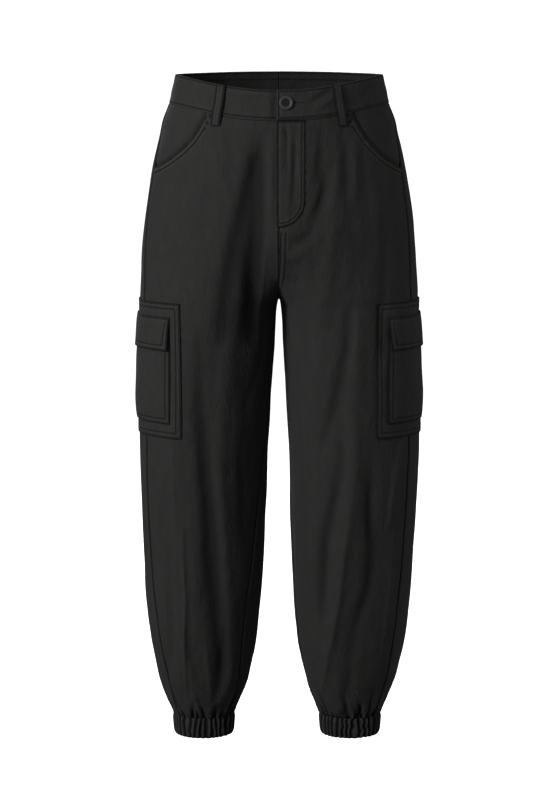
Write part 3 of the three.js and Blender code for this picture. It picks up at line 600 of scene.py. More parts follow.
class Piece:
    """A piece of cloth laid on the body. place(a, b, out) gives points in space for places on the piece."""

    def __init__(self, name, place, thick, material, lines=(), form=None, dip=0.55, pucker=0.3,
                 edge_shade_and_highlight=False):
        self.name, self.place, self.thick, self.material = name, place, thick, material
        self.lines = [np.asarray(line, float) for line in lines]
        self.form = form or (lambda a, b: np.zeros(np.shape(a)))
        self.dip, self.pucker, self.edge_shade_and_highlight = dip, pucker, edge_shade_and_highlight

    def out(self, a, b):
        """The form with the dips and puckers that the rows of stitches pull in it."""
        moved = self.form(a, b)
        for n, line in enumerate(self.lines):
            q = np.stack([a.ravel(), b.ravel()], -1)
            near = ((q > line.min(axis=0) - 12) & (q < line.max(axis=0) + 12)).all(axis=1)
            if not near.any():
                continue
            away, along = nearest(q[near], line)
            phase = along / 1.45 + 2.2 * np.sin(along / 17 + n) + 1.3 * np.sin(along / 6.3 + 2 * n)
            pull = -self.dip * np.exp(-((away / 0.9) ** 2))
            pull += self.pucker * np.sin(phase * 0.55) * np.exp(-((away / 3.4) ** 2))
            flat = moved.reshape(-1)
            flat[near] += pull
            moved = flat.reshape(np.shape(a))
        return moved

    def dark(self, a, b):
        """Other places painted dark as shade, such as seams."""
        return np.zeros(np.shape(a))

    def worn(self, a, b):
        """How much lighter or darker the cloth is painted: above 0 beside the rows of stitches, partly wear and
        partly a painted highlight where the cloth stands up, and below 0 as painted shade in the groove that they
        pull.
        """
        q = np.stack([a.ravel(), b.ravel()], -1)
        wear_and_highlight, painted_shade = np.zeros(len(q)), np.zeros(len(q))
        for line in self.lines:
            away, _ = nearest(q, line)
            wear_and_highlight = np.maximum(wear_and_highlight, np.exp(-(((away - 2.2) / 1.2) ** 2)))
            painted_shade = np.maximum(painted_shade, np.exp(-((away / 1.05) ** 2)))
        worn = (0.5 * wear_and_highlight * (1 - painted_shade) - 1.2 * painted_shade).reshape(np.shape(a))
        dark = self.dark(a, b)
        return worn * (1 - dark) - dark

    def build(self, a, b, edge=None, closed=False, turned_in=0):
        """The wall over a grid of places. edge is each place's distance from the nearest edge."""
        out = self.out(a, b) - turned_in
        fall = 0 if edge is None else edge_round(edge, self.thick)
        outer = self.place(a, b, out - fall)
        inner = self.place(a, b, out - self.thick + fall)
        uv = np.stack([a, b], -1)
        worn = self.worn(a, b)
        # Painted shadow along the piece's edge, and a painted highlight on its rounded edge just inside.
        if self.edge_shade_and_highlight:
            worn += 0.4 * np.exp(-(((edge - 1.3) / 0.5) ** 2)) - 1.8 * np.exp(-((edge / 0.85) ** 2))
        obj = shell(self.name, outer, inner, uv, self.material, worn, closed)
        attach(obj, "root")
        return obj


# Stitches: each is a short thread that bulges in its middle and dives into the cloth at both ends.
STITCH, STITCH_GAP, THREAD_R = 2.7, 0.6, 0.33


def stitch_points(piece, line, lift=0.1):
    """The rings of points of one row of stitches along a line on a piece."""
    steps = np.linalg.norm(np.diff(line, axis=0), axis=1)
    along = np.concatenate([[0], np.cumsum(steps)])
    count = int(along[-1] // (STITCH + STITCH_GAP))
    if count < 1:
        return np.zeros((0, 4, 4, 3))
    starts = (np.arange(count) + 0.5) * along[-1] / count - STITCH / 2
    shares = np.array([0, 0.28, 0.72, 1])
    at = starts[:, None] + STITCH * shares
    a, b = (np.interp(at, along, line[:, k]) for k in (0, 1))
    out = piece.out(a, b)
    base, above = piece.place(a, b, out), piece.place(a, b, out + 1)
    up = above - base
    ahead = np.gradient(base, axis=1)
    across = np.cross(ahead, up)
    across /= np.linalg.norm(across, axis=-1, keepdims=True) + 1e-12
    size = np.array([0.35, 1, 1, 0.35])[None, :, None]
    rise = (lift + np.array([-0.3, 0.06, 0.06, -0.3]))[None, :, None]
    centre = base + up * rise
    ring = [centre + THREAD_R * size * (across * cos(t) + up * sin(t)) for t in (0, pi / 2, pi, 3 * pi / 2)]
    return np.stack(ring, axis=2)


def thread(name, rows, material):
    """One mesh of all the stitches in these rows."""
    rings = np.concatenate(rows)
    count = len(rings)
    points = rings.reshape(-1, 3)
    one = np.arange(16).reshape(4, 4)
    one = np.concatenate([one, one[:, :1]], axis=1)
    faces = np.concatenate([quads(one), [[3, 2, 1, 0]], [[12, 13, 14, 15]]])
    faces = (faces[None] + 16 * np.arange(count)[:, None, None]).reshape(-1, 4)
    along = np.tile(np.repeat(np.linspace(0, STITCH, 4), 4), count)
    uv = np.stack([along, np.tile(np.arange(4.0), 4 * count)], -1)
    obj = make_mesh(name, points, faces, uv, material)
    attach(obj, "root")
    return obj


# Materials


def new_material(name, colour, roughness, specular):
    material = bpy.data.materials.new(name)
    material.use_nodes = True
    nodes, links = material.node_tree.nodes, material.node_tree.links
    shader = nodes["Principled BSDF"]
    shader.inputs["Base Color"].default_value = (*colour, 1)
    shader.inputs["Roughness"].default_value = roughness
    shader.inputs["Specular IOR Level"].default_value = specular
    return material, nodes, links, shader


def add_node(nodes, kind, place=(0, 0), **values):
    node = nodes.new(kind)
    node.location = place
    for key, value in values.items():
        if key in node.inputs:
            node.inputs[key].default_value = value
        else:
            setattr(node, key, value)
    return node


TWILL_DARK = (0.01, 0.01, 0.0098)
TWILL_LIGHT = (0.0205, 0.0203, 0.0198)
# Lighter for wear and painted highlights, and near black for painted shade
TWILL_WEAR_AND_HIGHLIGHT = (0.04, 0.0395, 0.038)
TWILL_PAINTED_SHADE = (0.003, 0.003, 0.003)
TWILL_PITCH = 0.00075


def twill(name, turned=0.0, tone=1.0):
    """Black cotton twill: a fine diagonal weave, a faint mottle, fuzz that catches light, stitched edges lighter with
    wear and painted highlight, and painted shade in grooves, seams and folds.
    """
    material, nodes, links, shader = new_material(name, TWILL_LIGHT, 0.9, 0.05)
    shader.inputs["Sheen Weight"].default_value = 0.02
    shader.inputs["Sheen Roughness"].default_value = 0.45
    shader.inputs["Sheen Tint"].default_value = (0.75, 0.76, 0.78, 1)
    uv = add_node(nodes, "ShaderNodeUVMap", (-1500, 0), uv_map="cloth")
    turn = add_node(nodes, "ShaderNodeMapping", (-1320, 0))
    turn.inputs["Rotation"].default_value = (0, 0, turned)
    weave = add_node(nodes, "ShaderNodeTexWave", (-1120, 160), bands_direction="DIAGONAL", Distortion=1.2, Detail=2)
    weave.inputs["Scale"].default_value = tau / 10 / (TWILL_PITCH * sqrt(2)) / 1.0
    weave.inputs["Detail Scale"].default_value = 2
    place = add_node(nodes, "ShaderNodeTexCoord", (-1500, -300))
    mottle = add_node(nodes, "ShaderNodeTexNoise", (-1120, -120), Scale=90, Detail=6, Roughness=0.66, Distortion=0.5)
    slub = add_node(nodes, "ShaderNodeTexNoise", (-1120, -360), Scale=900, Detail=3, Roughness=0.7)
    worn = add_node(nodes, "ShaderNodeAttribute", (-1120, -600), attribute_name="worn")
    links.new(uv.outputs["UV"], turn.inputs["Vector"])
    links.new(turn.outputs["Vector"], weave.inputs["Vector"])
    drawn = add_node(nodes, "ShaderNodeMapping", (-1320, -160))
    drawn.inputs["Scale"].default_value = (1, 1, 0.4)
    links.new(place.outputs["Object"], drawn.inputs["Vector"])
    links.new(drawn.outputs["Vector"], mottle.inputs["Vector"])
    links.new(place.outputs["Object"], slub.inputs["Vector"])

    both = add_node(nodes, "ShaderNodeMath", (-860, -40), operation="ADD")
    shade = add_node(nodes, "ShaderNodeMath", (-860, -220), operation="ADD")
    links.new(weave.outputs["Fac"], both.inputs[0])
    links.new(slub.outputs["Fac"], both.inputs[1])
    links.new(both.outputs[0], shade.inputs[0])
    links.new(mottle.outputs["Fac"], shade.inputs[1])
    ramp = add_node(nodes, "ShaderNodeValToRGB", (-640, -120))
    ramp.color_ramp.elements[0].position = 0.41
    ramp.color_ramp.elements[0].color = (*(tone * c for c in TWILL_DARK), 1)
    ramp.color_ramp.elements[1].position = 0.59
    ramp.color_ramp.elements[1].color = (*(tone * c for c in TWILL_LIGHT), 1)
    third = add_node(nodes, "ShaderNodeMath", (-760, -300), operation="DIVIDE")
    third.inputs[1].default_value = 3
    links.new(shade.outputs[0], third.inputs[0])
    links.new(third.outputs[0], ramp.inputs["Fac"])
    # The attribute lightens the cloth above 0, for wear and painted highlights, and darkens it below 0 as painted
    # shade.
    wear_and_highlight_mask = add_node(nodes, "ShaderNodeMath", (-640, -480), operation="MULTIPLY", use_clamp=True)
    painted_shade = add_node(nodes, "ShaderNodeMath", (-640, -640), operation="MULTIPLY", use_clamp=True)
    painted_shade.inputs[1].default_value = -1
    mix = add_node(nodes, "ShaderNodeMix", (-420, -160), data_type="RGBA")
    mix.inputs[7].default_value = (*TWILL_WEAR_AND_HIGHLIGHT, 1)
    deep = add_node(nodes, "ShaderNodeMix", (-220, -260), data_type="RGBA")
    deep.inputs[7].default_value = (*TWILL_PAINTED_SHADE, 1)
    links.new(worn.outputs["Fac"], wear_and_highlight_mask.inputs[0])
    links.new(slub.outputs["Fac"], wear_and_highlight_mask.inputs[1])
    links.new(worn.outputs["Fac"], painted_shade.inputs[0])
    links.new(wear_and_highlight_mask.outputs[0], mix.inputs[0])
    links.new(ramp.outputs["Color"], mix.inputs[6])
    links.new(painted_shade.outputs[0], deep.inputs[0])
    links.new(mix.outputs[2], deep.inputs[6])
    links.new(deep.outputs[2], shader.inputs["Base Color"])

    fine = add_node(nodes, "ShaderNodeBump", (-340, 200), Strength=0.35, Distance=0.00012)
    soft = add_node(nodes, "ShaderNodeBump", (-140, 100), Strength=0.5, Distance=0.0045)
    links.new(both.outputs[0], fine.inputs["Height"])
    links.new(mottle.outputs["Fac"], soft.inputs["Height"])
    links.new(fine.outputs["Normal"], soft.inputs["Normal"])
    links.new(soft.outputs["Normal"], shader.inputs["Normal"])
    return material


def thread_material():
    """Black sewing thread, a little shinier than the cloth and twisted."""
    material, nodes, links, shader = new_material("thread", (0.02, 0.02, 0.019), 0.7, 0.15)
    uv = add_node(nodes, "ShaderNodeUVMap", (-800, 0), uv_map="cloth")
    ply = add_node(nodes, "ShaderNodeTexWave", (-600, 0), bands_direction="DIAGONAL", Scale=700, Distortion=0.5)
    ramp = add_node(nodes, "ShaderNodeValToRGB", (-380, 80))
    ramp.color_ramp.elements[0].color = (0.009, 0.009, 0.0088, 1)
    ramp.color_ramp.elements[1].color = (0.022, 0.022, 0.021, 1)
    bump = add_node(nodes, "ShaderNodeBump", (-200, -160), Strength=0.4, Distance=0.0001)
    links.new(uv.outputs["UV"], ply.inputs["Vector"])
    links.new(ply.outputs["Fac"], ramp.inputs["Fac"])
    links.new(ply.outputs["Fac"], bump.inputs["Height"])
    links.new(ramp.outputs["Color"], shader.inputs["Base Color"])
    links.new(bump.outputs["Normal"], shader.inputs["Normal"])
    return material


DISH_R = 5.2  # the button's sunk middle, painted dark as shade


def button_material():
    """Black moulded plastic with a soft shine and faint marks, and its sunk middle painted dark as shade."""
    material, nodes, links, shader = new_material("button_plastic", (0.02, 0.02, 0.02), 0.45, 0.12)
    place = add_node(nodes, "ShaderNodeTexCoord", (-900, 0))
    marks = add_node(nodes, "ShaderNodeTexNoise", (-700, 0), Scale=700, Detail=4)
    rough = add_node(nodes, "ShaderNodeMapRange", (-460, 0))
    rough.inputs["To Min"].default_value = 0.4
    rough.inputs["To Max"].default_value = 0.55
    ramp = add_node(nodes, "ShaderNodeValToRGB", (-460, 260))
    ramp.color_ramp.elements[0].color = (0.016, 0.016, 0.016, 1)
    ramp.color_ramp.elements[1].color = (0.034, 0.034, 0.035, 1)
    uv = add_node(nodes, "ShaderNodeUVMap", (-900, 460), uv_map="cloth")
    radius = add_node(nodes, "ShaderNodeVectorMath", (-700, 460), operation="LENGTH")
    rim = add_node(nodes, "ShaderNodeMapRange", (-460, 460))
    rim.inputs["From Min"].default_value = DISH_R * MM
    rim.inputs["From Max"].default_value = (DISH_R + 1) * MM
    # Painted shade: the sunk middle is much darker than the rim.
    mix = add_node(nodes, "ShaderNodeMix", (-200, 260), data_type="RGBA")
    mix.inputs[6].default_value = (0.002, 0.002, 0.002, 1)
    links.new(uv.outputs["UV"], radius.inputs[0])
    links.new(radius.outputs["Value"], rim.inputs["Value"])
    links.new(rim.outputs["Result"], mix.inputs[0])
    links.new(ramp.outputs["Color"], mix.inputs[7])
    bump = add_node(nodes, "ShaderNodeBump", (-240, -200), Strength=0.15, Distance=0.0001)
    links.new(place.outputs["Object"], marks.inputs["Vector"])
    links.new(marks.outputs["Fac"], rough.inputs["Value"])
    links.new(marks.outputs["Fac"], ramp.inputs["Fac"])
    links.new(marks.outputs["Fac"], bump.inputs["Height"])
    links.new(rough.outputs["Result"], shader.inputs["Roughness"])
    links.new(mix.outputs[2], shader.inputs["Base Color"])
    links.new(bump.outputs["Normal"], shader.inputs["Normal"])
    return material


TWILL_BODY = twill("twill_body")
TWILL_CROSS = twill("twill_cross_grain", turned=pi / 2, tone=1.04)
TWILL_POCKET = twill("twill_pocket", turned=0.12, tone=1.04)
# The cuffs' twill is a darker copy, as painted shade for their gathers' self-shadowing.
TWILL_CUFF_SHADED = twill("twill_cuff_painted_shade", turned=pi / 2, tone=0.74)
# The waistband's inside uses a darker copy of the twill as painted shade inside the waist.
TWILL_INSIDE_SHADED = twill("twill_inside_painted_shade", turned=-pi / 2, tone=0.6)
THREAD = thread_material()
BUTTON = button_material()


# Panels

FRONT_COLUMNS, SCOOP_COLUMNS, BACK_COLUMNS = 44, 70, 90
UPPER_ROWS = 70
LEVEL_STEP, GATHER_STEP = 5, 1.6
CENTRE_SHARES = (0.005, 0.046, 12)  # closer columns beside the centre seams
NEAR_EDGE = (0, 0.0012, 0.0028)  # shares of a panel's width where its edge is rounded
SEAM_DIP, SEAM_RIDGE, RIDGE_WIDTH = 0.9, 0.6, 10
ALLOWANCE = 3.5  # how deep the seam allowances turn in
FOLD_FLOOR_SHADE, FLOOR_DEPTH = 0.62, 7  # painted shade: how dark the floor of a fold this deep is painted
PLEAT_SHADE, PLEAT_DEPTH = 0.9, 3.5  # the same painted shade for the pleats above the cuffs
TOP_TUCK = 2.5  # how far the top edges go up behind the waistband
CENTRE_TOUCH = 0.03  # from the middle to each side's cloth along the centre seams
CENTRE_DRAW = 14  # the cloth this near to a centre seam is drawn to the middle
CENTRE_LAP = 0.5  # how far the left side's allowance goes past the middle


def level_rows():
    """The heights of the rows from SHARED_Z down, closer together where the leg is gathered."""
    coarse = np.arange(SHARED_Z, LEG_GATHER_TOP, -LEVEL_STEP)
    fine = np.arange(coarse[-1] - GATHER_STEP, LEG_END + GAP + 1, -GATHER_STEP)
    return np.concatenate([coarse, fine, [LEG_END + GAP + 0.8, LEG_END + GAP]])


def quadratic(start, bend, end, t):
    t = np.asarray(t)[..., None]
    return (1 - t) ** 2 * np.array(start) + 2 * t * (1 - t) * np.array(bend) + t**2 * np.array(end)


def scoop_curve(side, start, bend, end_z, t):
    """The hip pocket's opening, in x and z, from the waistband down to the side seam."""
    end_x = hip_point(1, sweep_at(side_turn(side, end_z)), end_z)[0]
    return quadratic(start, bend, (end_x, end_z), t)


def scoop_edge(side, t):
    start_z = band_bottom_z(sweep_of_x(SCOOP_TOP_X, -33))
    return scoop_curve(side, (SCOOP_TOP_X, float(start_z)), SCOOP_BEND, SCOOP_END_Z, t)


def on_body(side, x, z):
    """Places given by x and z on the front of the body, as distance round the cloth and height."""
    turn = turn_of_x(np.asarray(x, float), np.asarray(z, float))
    return np.stack([LENGTHS[side].distance(turn, np.asarray(z, float)), z], -1)


def moved_aside(line, distance):
    """A line on a plane moved to its right by a distance."""
    ahead = np.gradient(line, axis=0)
    ahead /= np.linalg.norm(ahead, axis=1, keepdims=True)
    return line + distance * np.stack([ahead[:, 1], -ahead[:, 0]], -1)


class Panel(Piece):
    """A front or back panel. Its places are the distance round the cloth and the height."""

    def __init__(self, side, name, lines=(), hem=None):
        super().__init__("cloth_" + name, self.on_leg, CLOTH, TWILL_BODY, lines, self.hem_form)
        self.side, self.hem = side, hem

    def on_leg(self, s, z, out):
        return cloth_point(self.side, self.turn if np.shape(s) == np.shape(self.turn) else self.find(s, z), z, out)

    def find(self, s, z):
        return LENGTHS[self.side].turn_at(s, z)

    def hem_form(self, s, z):
        """Turned cloth stands a little proud along a hemmed edge."""
        if self.hem is None:
            return np.zeros(np.shape(s))
        away, _ = nearest(np.stack([s.ravel(), z.ravel()], -1), self.hem)
        return 0.55 * (1 - smooth((away.reshape(np.shape(s)) - 8.6) / 1.6))

    def sew(self, columns, turn_of, top_z):
        """Builds the panel. columns run from 0 to 1 between its seams."""
        levels = level_rows()
        shares = np.concatenate([[0, 0.006, 0.02], np.linspace(0, 1, UPPER_ROWS)[1:-1]])
        top = top_z(columns)
        upper = lerp(top[None, :], SHARED_Z, shares[:, None])
        z = np.concatenate([upper, np.repeat(levels[:, None], len(columns), axis=1)])
        z[0] += TOP_TUCK
        u = np.broadcast_to(columns, z.shape)
        self.turn = turn_of(u, z)
        s = LENGTHS[self.side].distance(self.turn, z)
        from_seams = np.minimum(s - s[:, :1], s[:, -1:] - s)
        from_ends = np.minimum(top[None, :] - z, z - (LEG_END + GAP))
        self.seams = from_seams
        turned_in = np.zeros(z.shape)
        turned_in[0] = turned_in[:, 0] = turned_in[:, -1] = ALLOWANCE
        obj = self.build(s, z, np.minimum(from_seams + GAP / 4, from_ends), turned_in=turned_in)
        self.finish_seams(obj, s, z)
        return obj

    def out(self, s, z):
        moved = super().out(s, z)
        if np.shape(s) == np.shape(getattr(self, "seams", None)):
            dip = np.exp(-((self.seams / 1.6) ** 2))
            ridge = smooth(self.seams / 2.5) * (1 - smooth((self.seams - RIDGE_WIDTH) / 3))
            moved += (SEAM_RIDGE * ridge if self.name.startswith("cloth_back") else 0) - SEAM_DIP * dip
        return moved

    def dark(self, s, z):
        """Painted shade: seams and the floors of the folds are painted dark."""
        moved = fold_depth(self.side, self.turn, z) + crease_depth(s, z, CREASES[self.side] + BACK_CREASES)
        floors = np.maximum(FOLD_FLOOR_SHADE * smooth(-moved / FLOOR_DEPTH),
                            PLEAT_SHADE * smooth(-gather_depth(self.side, self.turn, z) / PLEAT_DEPTH))
        return np.maximum(np.exp(-((self.seams / 1.3) ** 2)), floors)

    def worn(self, s, z):
        # Painted highlight: a lighter strip along the raised cloth beside the back panels' seams.
        beside = 0.3 * np.exp(-(((self.seams - 4) / 2) ** 2)) if self.name.startswith("cloth_back") else 0
        return super().worn(s, z) + beside

    def finish_seams(self, obj, s, z):
        """Draws the panel's edges and their allowances back from its seams, and closes the centre seams."""
        rows, columns = z.shape
        co = np.empty(len(obj.data.vertices) * 3, np.float32)
        obj.data.vertices.foreach_get("co", co)
        p = co.reshape(2, rows, columns, 3)
        for ends, inner in (((0, 1), 5), ((columns - 1, columns - 2), columns - 6)):
            ahead = p[0, :, inner] - p[0, :, ends[1]]
            ahead /= np.linalg.norm(ahead, axis=-1, keepdims=True)
            for end in ends:
                p[0, :, end] += ahead * GAP / 2 * MM
                p[1, :, end] += ahead * (GAP / 2 + CLOTH * 0.7) * MM
        front = self.name.startswith("cloth_front")
        seam = 1 if front else columns - 2
        share = smooth(1 - np.abs(s - s[:, seam, None]) / CENTRE_DRAW) * (z > CROTCH_Z - 2)
        x = p[..., 0] * self.side
        x = x - (x[0, :, seam, None] - CENTRE_TOUCH * MM) * share
        p[..., 0] = self.side * np.maximum(x, np.where(z > CROTCH_Z - 2, CENTRE_TOUCH * MM, x))
        centre = slice(0, 2) if front else slice(columns - 2, columns)
        above = z[:, centre] > CROTCH_Z
        p[0, :, centre, 0] = np.where(above, self.side * CENTRE_TOUCH * MM, p[0, :, centre, 0])
        if self.side > 0:
            lip = 0 if front else -1
            p[0, :, lip, 0] = np.where(above[:, lip], -CENTRE_LAP * MM, p[0, :, lip, 0])
        obj.data.vertices.foreach_set("co", co)
        obj.data.update()


def columns_with_edges(inner):
    ends = np.array(NEAR_EDGE)
    inner = inner[(inner > ends[-1] * 1.5) & (inner < 1 - ends[-1] * 1.5)]
    return np.concatenate([[0], ends, inner, 1 - ends[::-1], [1]])


def front_panel(side):
    name = "front_panel_" + side_name(side)
    t = np.linspace(0, 1, 90)
    edge = scoop_edge(side, t)
    line = on_body(side, edge[:, 0], edge[:, 1])
    share = turn_of_x(edge[:, 0], edge[:, 1]) / side_turn(side, edge[:, 1])
    share[-1] = 1
    rows = [moved_aside(line, side_in) for side_in in (2, 8.4)]
    centre = np.array([[3 if side > 0 else 2.2, z] for z in np.linspace(-203, -292, 30)])
    rows += [centre] + ([centre + (6.5, 0)] if side > 0 else [])
    panel = Panel(side, name, rows, hem=line)
    waist = np.linspace(0, share[0], FRONT_COLUMNS, endpoint=False)
    scoop = np.interp(np.linspace(0, 1, SCOOP_COLUMNS), t, share)
    columns = columns_with_edges(np.unique(np.concatenate([np.linspace(*CENTRE_SHARES), waist, scoop])))

    def top_z(u):
        at_waist = band_bottom_z(sweep_at(u * side_turn(side, float(band_bottom_z(0))))) - GAP
        return np.where(u < share[0], at_waist, np.interp(u, share, edge[:, 1]))

    obj = panel.sew(columns, lambda u, z: lerp(inseam_turn(side, z), side_turn(side, z), u), top_z)
    return obj, panel, rows


def back_panel(side):
    name = "back_panel_" + side_name(side)
    centre_z = np.linspace(-24, -270, 60)
    round_half = LENGTHS[side].distance(np.full(60, tau), centre_z)
    rows = [np.stack([round_half - 2.4, centre_z], -1)]
    if side > 0:
        rows.append(np.stack([round_half - 8.6, centre_z], -1))
    panel = Panel(side, name, rows)
    turn_of = lambda u, z: lerp(side_turn(side, z), tau + inseam_turn(side, z), u)
    top_z = lambda u: band_bottom_z(sweep_at(turn_of(u, band_bottom_z(pi / 2)))) - GAP
    columns = np.unique(np.concatenate([np.linspace(0, 1, BACK_COLUMNS), 1 - np.linspace(*CENTRE_SHARES)]))
    obj = panel.sew(columns_with_edges(columns), turn_of, top_z)
    return obj, panel, rows


def hip_facing(side):
    """The cloth seen inside the hip pocket's opening, a layer under the front panel."""
    name = "hip_pocket_facing_" + side_name(side)
    start_x = SCOOP_TOP_X - FACING_UNDER
    start = (start_x, float(band_bottom_z(sweep_of_x(start_x, -40))) - FACING_UNDER)
    bend = (SCOOP_BEND[0] - FACING_UNDER, SCOOP_BEND[1] - FACING_UNDER)
    low = scoop_curve(side, start, bend, SCOOP_END_Z - FACING_UNDER, np.linspace(0, 1, 80))
    low_turn = turn_of_x(low[:, 0], low[:, 1])
    u = np.minimum(low_turn / side_turn(side, low[:, 1]), 0.9985)
    top = band_bottom_z(sweep_at(low_turn)) - GAP
    for _ in range(3):
        top = band_bottom_z(sweep_at(u * side_turn(side, top))) - GAP
    v = np.linspace(0, 1, 60)[:, None]
    z = lerp(top[None, :], low[None, :, 1], v)
    turn = u[None, :] * side_turn(side, z)
    s = LENGTHS[side].distance(turn, z)
    edge = scoop_edge(side, np.linspace(0, 1, 90))
    line = on_body(side, edge[:, 0], edge[:, 1])
    away, _ = nearest(np.stack([s.ravel(), z.ravel()], -1), line)
    outside = s > np.interp(-z, -line[:, 1], line[:, 0])
    shown = np.where(outside & (z > SCOOP_END_Z), away.reshape(s.shape), 0)
    depth = FACING_DEPTH * (1 - 0.92 * smooth((shown - 1) / 9))
    z = z + TOP_TUCK * (v == 0)
    piece = Piece("cloth_" + name, lambda s, z, out: cloth_point(side, turn, z, out - depth), CLOTH, TWILL_POCKET)
    # Painted shadow: the facing is painted darker near the opening's edge, where the front panel shades it.
    piece.dark = lambda s, z: 0.85 * np.exp(-((away.reshape(s.shape) / 3.5) ** 2))
    return piece.build(s, z, turned_in=ALLOWANCE * ((v == 0) | (np.arange(80) == 79)))


# Fly


def fly_right_edge(z):
    t = clamp01((FLY_BEND_Z - z) / (FLY_BEND_Z - FLY_END_Z))
    return lerp(FLY_LEFT + 4, FLY_RIGHT, np.sqrt(1 - t * t))


def fly_place(x, z, out):
    side = np.where(np.asarray(x) < 0, -1, 1)
    turn = turn_of_x(np.abs(x), z)
    return np.where((side < 0)[..., None], cloth_point(-1, turn, z, out), cloth_point(1, turn, z, out))


def fly_lap():
    top = float(band_bottom_z(0)) - GAP
    inset = lambda d: [(fly_right_edge(z) - d if z > FLY_BEND_Z else fly_j(z, d), z) for z in np.linspace(top, FLY_BEND_Z, 40)]

    def fly_j(z, d):
        return fly_right_edge(z) - d

    def j_line(d):
        """A row of stitches that runs down beside the lap's edge and round its end to the centre."""
        straight = [(FLY_RIGHT - d, z) for z in np.linspace(top - 1, FLY_BEND_Z, 36)]
        wide, high = FLY_RIGHT - d - FLY_LEFT - 4, FLY_BEND_Z - FLY_END_Z - d
        bend = [(FLY_LEFT + 4 + wide * cos(a), FLY_BEND_Z - high * sin(a)) for a in np.linspace(0.04, pi / 2, 30)]
        return np.array(straight + bend)

    rows = [j_line(1.4), j_line(6), np.array([(FLY_LEFT + 1.6, z) for z in np.linspace(top - 1, FLY_END_Z + 1, 60)])]
    form = lambda x, z: FLY_OUT - 1.5 * smooth(1 - (fly_right_edge(z) - x) / 2.4)
    piece = Piece("cloth_fly_lap", fly_place, FLY_CLOTH, TWILL_BODY, rows, form, dip=0.6, pucker=0.36,
                  edge_shade_and_highlight=True)
    heights = lerp(top, FLY_END_Z + 0.4, np.sin(np.linspace(0, pi / 2, 90)) ** 0.85)
    share = np.concatenate([[0, 0.012], np.linspace(0.03, 0.97, 32), [0.985, 1]])
    z = np.repeat(heights[:, None], len(share), axis=1)
    x = lerp(FLY_LEFT, fly_right_edge(z), share[None, :])
    edge = np.minimum(np.minimum(x - FLY_LEFT, fly_right_edge(z) - x), np.minimum(top - z, z - FLY_END_Z))
    return piece.build(x, z, edge), piece, rows


FLY_OUT = ON_TOP + FLY_CLOTH


# Waistband


def band_place(side, under):
    """Places on half the waistband: the sweep in degrees times a length, and the distance down from the rim."""
    lap_end = float(sweep_of_x(GAP - FLY_LEFT, 0)) + radians(0.2)
    risen = lap_end + radians(3)

    def place(sweep, down, out):
        z = rim_z(sweep) - down
        lap = lerp(UNDERLAP_OUT, BAND_PROUD, smooth((sweep - lap_end) / (risen - lap_end))) if under else BAND_PROUD
        n = outward(side, hip_point, sweep, z)
        p = hip_point(side, sweep, z) + n * (lap + out)[..., None]
        return p

    return place


LINING_SEAM = 12  # from the rim down to a seam inside
BAND_RADIUS = 140  # turns a sweep into a distance round the band, for its weave and creases

# Creases in the waistband: depth, half width, and three places: distance from the centre front round
# the wearer's left (positive) or right (negative), and the distance down from the rim.
BAND_CREASES = {
    -1: (
        (-0.9, 4, -52, 16, -38, 18, -20, 17),
        (0.7, 4, -60, 27, -40, 26, -16, 28),
        (-0.8, 5, -150, 8, -130, 18, -112, 30),
        (0.8, 5, -170, 10, -158, 20, -150, 34),
        (-0.7, 6, -240, 12, -262, 20, -290, 22),
        (-0.8, 5, -330, 8, -345, 20, -350, 34),
        (0.7, 6, -400, 10, -420, 20, -430, 34),
    ),
    1: (
        (-1.5, 4, 38, 20, 56, 13, 76, 4),
        (1.2, 4, 42, 30, 62, 22, 82, 12),
        (-0.9, 4, 16, 10, 30, 8, 44, 7),
        (-0.8, 5, 118, 30, 130, 18, 150, 8),
        (0.8, 5, 140, 34, 152, 22, 166, 12),
        (-0.8, 5, 180, 8, 196, 18, 204, 32),
        (-0.8, 6, 260, 30, 280, 20, 300, 12),
        (0.7, 6, 350, 10, 362, 20, 368, 34),
        (-0.7, 5, 410, 8, 424, 20, 430, 30),
    ),
}


def waistband(side):
    name = "waistband_" + side_name(side)
    under = side < 0
    start = -float(sweep_of_x(UNDERLAP_X if under else -FLY_LEFT, 0))
    base = band_place(side, under)
    place = lambda a, b, out: base(a / BAND_RADIUS, b, out)
    first, last = start * BAND_RADIUS, pi * BAND_RADIUS - GAP / 2
    along = np.linspace(max(first + 2.4, 1 if under else -9), last - 1, 260)
    rows = [np.stack([along, np.full(260, d)], -1) for d in (2.2, BAND_HEIGHT - 2.4)]
    if not under:
        down = np.linspace(2.2, BAND_HEIGHT - 2.4, 16)
        rows.append(np.stack([np.full(16, first + 2.2), down], -1))

    def form(a, b):
        moved = 1.5 * crease_depth(side * a, b, BAND_CREASES[side])
        moved += 0.6 * unevenness(a * 0.6, b, 16, 21 + side) + 0.2 * unevenness(a, b, 7, 23)
        return moved * smooth((np.abs(a) + 4) / 12) if under else moved

    piece = Piece("cloth_" + name, place, BAND_CLOTH, TWILL_CROSS, rows, form, dip=0.55, pucker=0.34)
    a = first + places_along(last - first, (2.2,), 2.6)
    b, a = np.meshgrid(places_along(BAND_HEIGHT, (2.3,), 2), a, indexing="ij")
    edge = np.minimum(np.minimum(a - first, last - a), np.minimum(b, BAND_HEIGHT - b))
    obj = piece.build(a, b, edge)
    line_inside(obj, b)
    return obj, piece, rows


